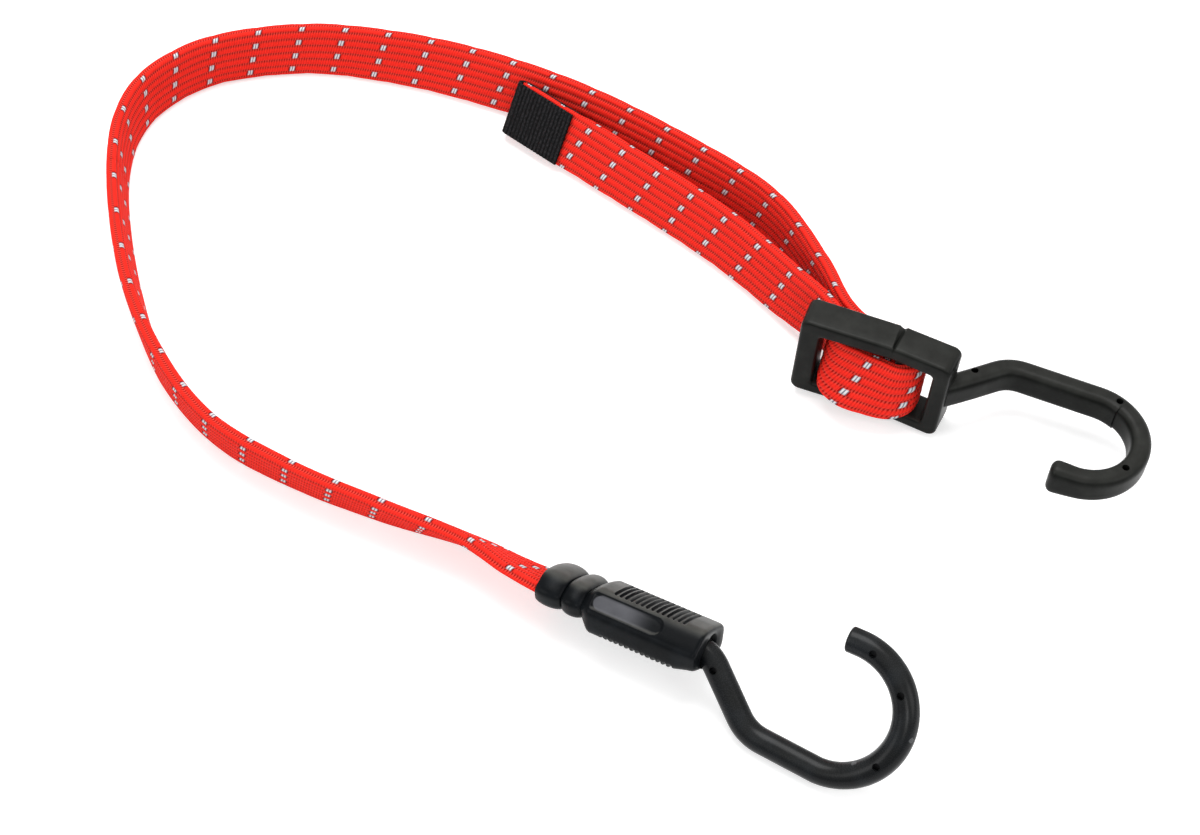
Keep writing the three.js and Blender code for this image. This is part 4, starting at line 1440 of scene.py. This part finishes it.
def panel_wear_and_reflection(sheet):
    """The bare panel of the grip, worn and painted paler as a painted reflection of the light above:
    full at its bead end and fading towards the hook.
    """
    a, b = facet_edges(HALF_THICK, HALF_WIDE, FLAT_HALF)
    middle = (a + b) / 2
    ends = (PANEL_LEFT + PANEL_HALF, PANEL_RIGHT)
    start, end = (GRIP_SEAT @ Vector((x, middle.x, middle.y)) for x in ends)
    run = end - start
    place = sheet.add("ShaderNodeTexCoord").outputs["Object"]
    from_start = sheet.vector("SUBTRACT", place, start)
    along = sheet.vector("DOT_PRODUCT", from_start, run / run.length_squared)
    part = sheet.math("MINIMUM", sheet.math("MAXIMUM", along, 0.0), 1.0)
    away = sheet.vector("DISTANCE", from_start, sheet.vector("SCALE", run, part))
    inside = sheet.step(away, PANEL_HALF, PANEL_HALF - PANEL_EDGE)
    return sheet.times(inside, sheet.step(part, 1.0, 0.45))


# The lower hook's worn spots: places in the grip's own millimetres, size and ragged edge
NICKS = ((114.3, 0, 1.9), (101.3, -12.6, 1.6))
NICK_REACH = 1.25 * MM
NICK_RAGGED = 0.9 * MM


def nick_mask(sheet):
    """Two small worn spots on the bowl of the lower hook."""
    place = sheet.add("ShaderNodeTexCoord").outputs["Object"]
    wobble = sheet.noise(place, 1500.0, 2.0)
    spots = []
    for centre in NICKS:
        far = sheet.vector("DISTANCE", place, GRIP_SEAT @ vec(*centre))
        spots.append(sheet.math("LESS_THAN", sheet.line(wobble, NICK_RAGGED, far), NICK_REACH))
    return sheet.math("MAXIMUM", *spots)


# Stage

# How bright the air is, and how much the floor glows where it is seen
WHITE = (1, 1, 1, 1)
AIR = 0.58
FLOOR_GLOW = 0.46

# A broad lamp overhead, one from either side and a small one in front: place, size and power
LAMPS = (
    ("overhead_lamp", (-0.1, 0.5, 1.35), 0.9, 17.0),
    ("left_lamp", (-1.4, -0.5, 0.9), 0.9, 7.0),
    ("right_lamp", (1.3, -0.7, 0.9), 0.9, 7.0),
    ("front_lamp", (0.05, -1.0, 0.75), 0.3, 2.2),
)


def stand(scene, name, data, place, target):
    """Stands a camera or a lamp in the scene, looking at target."""
    thing = bpy.data.objects.new(name, data)
    thing.location = place
    thing.rotation_euler = (target - place).to_track_quat("-Z", "Y").to_euler()
    scene.collection.objects.link(thing)
    return thing


class BUNGEE_OT_stage(bpy.types.Operator):
    """Set the camera, the pale floor and the soft light"""

    bl_idname = "bungee.stage"
    bl_label = "Stage"

    def execute(self, context):
        scene = context.scene
        settings = scene.bungee_stage
        target = Vector(settings.camera_target)
        scene.view_settings.view_transform = "Standard"
        self.camera(scene, settings, target)
        self.floor(settings)
        for name, place, size, power in LAMPS:
            data = bpy.data.lights.new(name, "AREA")
            data.shape = "SQUARE"
            data.size = size
            data.energy = power
            stand(scene, name, data, Vector(place), target)
        world = bpy.data.worlds.new("studio_air")
        world.use_nodes = True
        air = world.node_tree.nodes["Background"].inputs
        air["Color"].default_value = WHITE
        air["Strength"].default_value = AIR
        scene.world = world
        return {"FINISHED"}

    @staticmethod
    def camera(scene, settings, target):
        data = bpy.data.cameras.new("photo_camera")
        data.sensor_fit = "HORIZONTAL"
        data.sensor_width = 36
        data.lens = settings.lens
        data.clip_start = 0.01
        scene.camera = stand(scene, "photo_camera", data, Vector(settings.camera_place), target)

    @staticmethod
    def floor(settings):
        mesh = bmesh.new()
        bmesh.ops.create_grid(mesh, x_segments=1, y_segments=1, size=4)
        constants = {
            "Base Color": colour(settings.floor), "Roughness": 0.95, "Specular IOR Level": 0.1,
            "Emission Color": WHITE,
        }
        material, sheet, surface = new_material("pale_floor", constants)
        path = sheet.add("ShaderNodeLightPath").outputs
        seen = sheet.math("MAXIMUM", path["Is Camera Ray"], path["Is Glossy Ray"])
        seen = sheet.math("MAXIMUM", seen, path["Is Transmission Ray"])
        sheet.feed(surface["Emission Strength"], sheet.times(seen, FLOOR_GLOW))
        floor = make_piece("floor", mesh, material)


class BUNGEE_PT_pieces(bpy.types.Panel):
    """Lists the cord's pieces and their settings"""

    bl_idname = "BUNGEE_PT_pieces"
    bl_label = "Bungee Cord"
    bl_space_type = "VIEW_3D"
    bl_region_type = "UI"
    bl_category = "Bungee"

    def draw(self, context):
        column = self.layout.column()
        for operator in OPERATORS:
            column.operator(operator.bl_idname)
        for group, kind in SETTINGS.items():
            for name in kind.__annotations__:
                column.prop(getattr(context.scene, group), name)


OPERATORS = (
    BUNGEE_OT_stage, BUNGEE_OT_strap, BUNGEE_OT_tab, BUNGEE_OT_lower_hook,
    BUNGEE_OT_grip, BUNGEE_OT_buckle, BUNGEE_OT_inner_parts,
)
SETTINGS = {
    "bungee_strap": StrapSizes,
    "bungee_mouldings": MouldingSizes,
    "bungee_colours": FinishColours,
    "bungee_stage": StageSettings,
}
CLASSES = (*SETTINGS.values(), *OPERATORS, BUNGEE_PT_pieces)


def register():
    for kind in CLASSES:
        bpy.utils.register_class(kind)
    for name, kind in SETTINGS.items():
        setattr(bpy.types.Scene, name, PointerProperty(type=kind))


def unregister():
    for name in SETTINGS:
        delattr(bpy.types.Scene, name)
    for kind in reversed(CLASSES):
        bpy.utils.unregister_class(kind)


def main():
    register()
    bpy.ops.bungee.stage()
    bpy.ops.bungee.strap()
    bpy.ops.bungee.tab()
    bpy.ops.bungee.lower_hook()
    bpy.ops.bungee.grip()
    bpy.ops.bungee.buckle()
    bpy.ops.bungee.inner_parts()


if __name__ == "__main__":
    main()
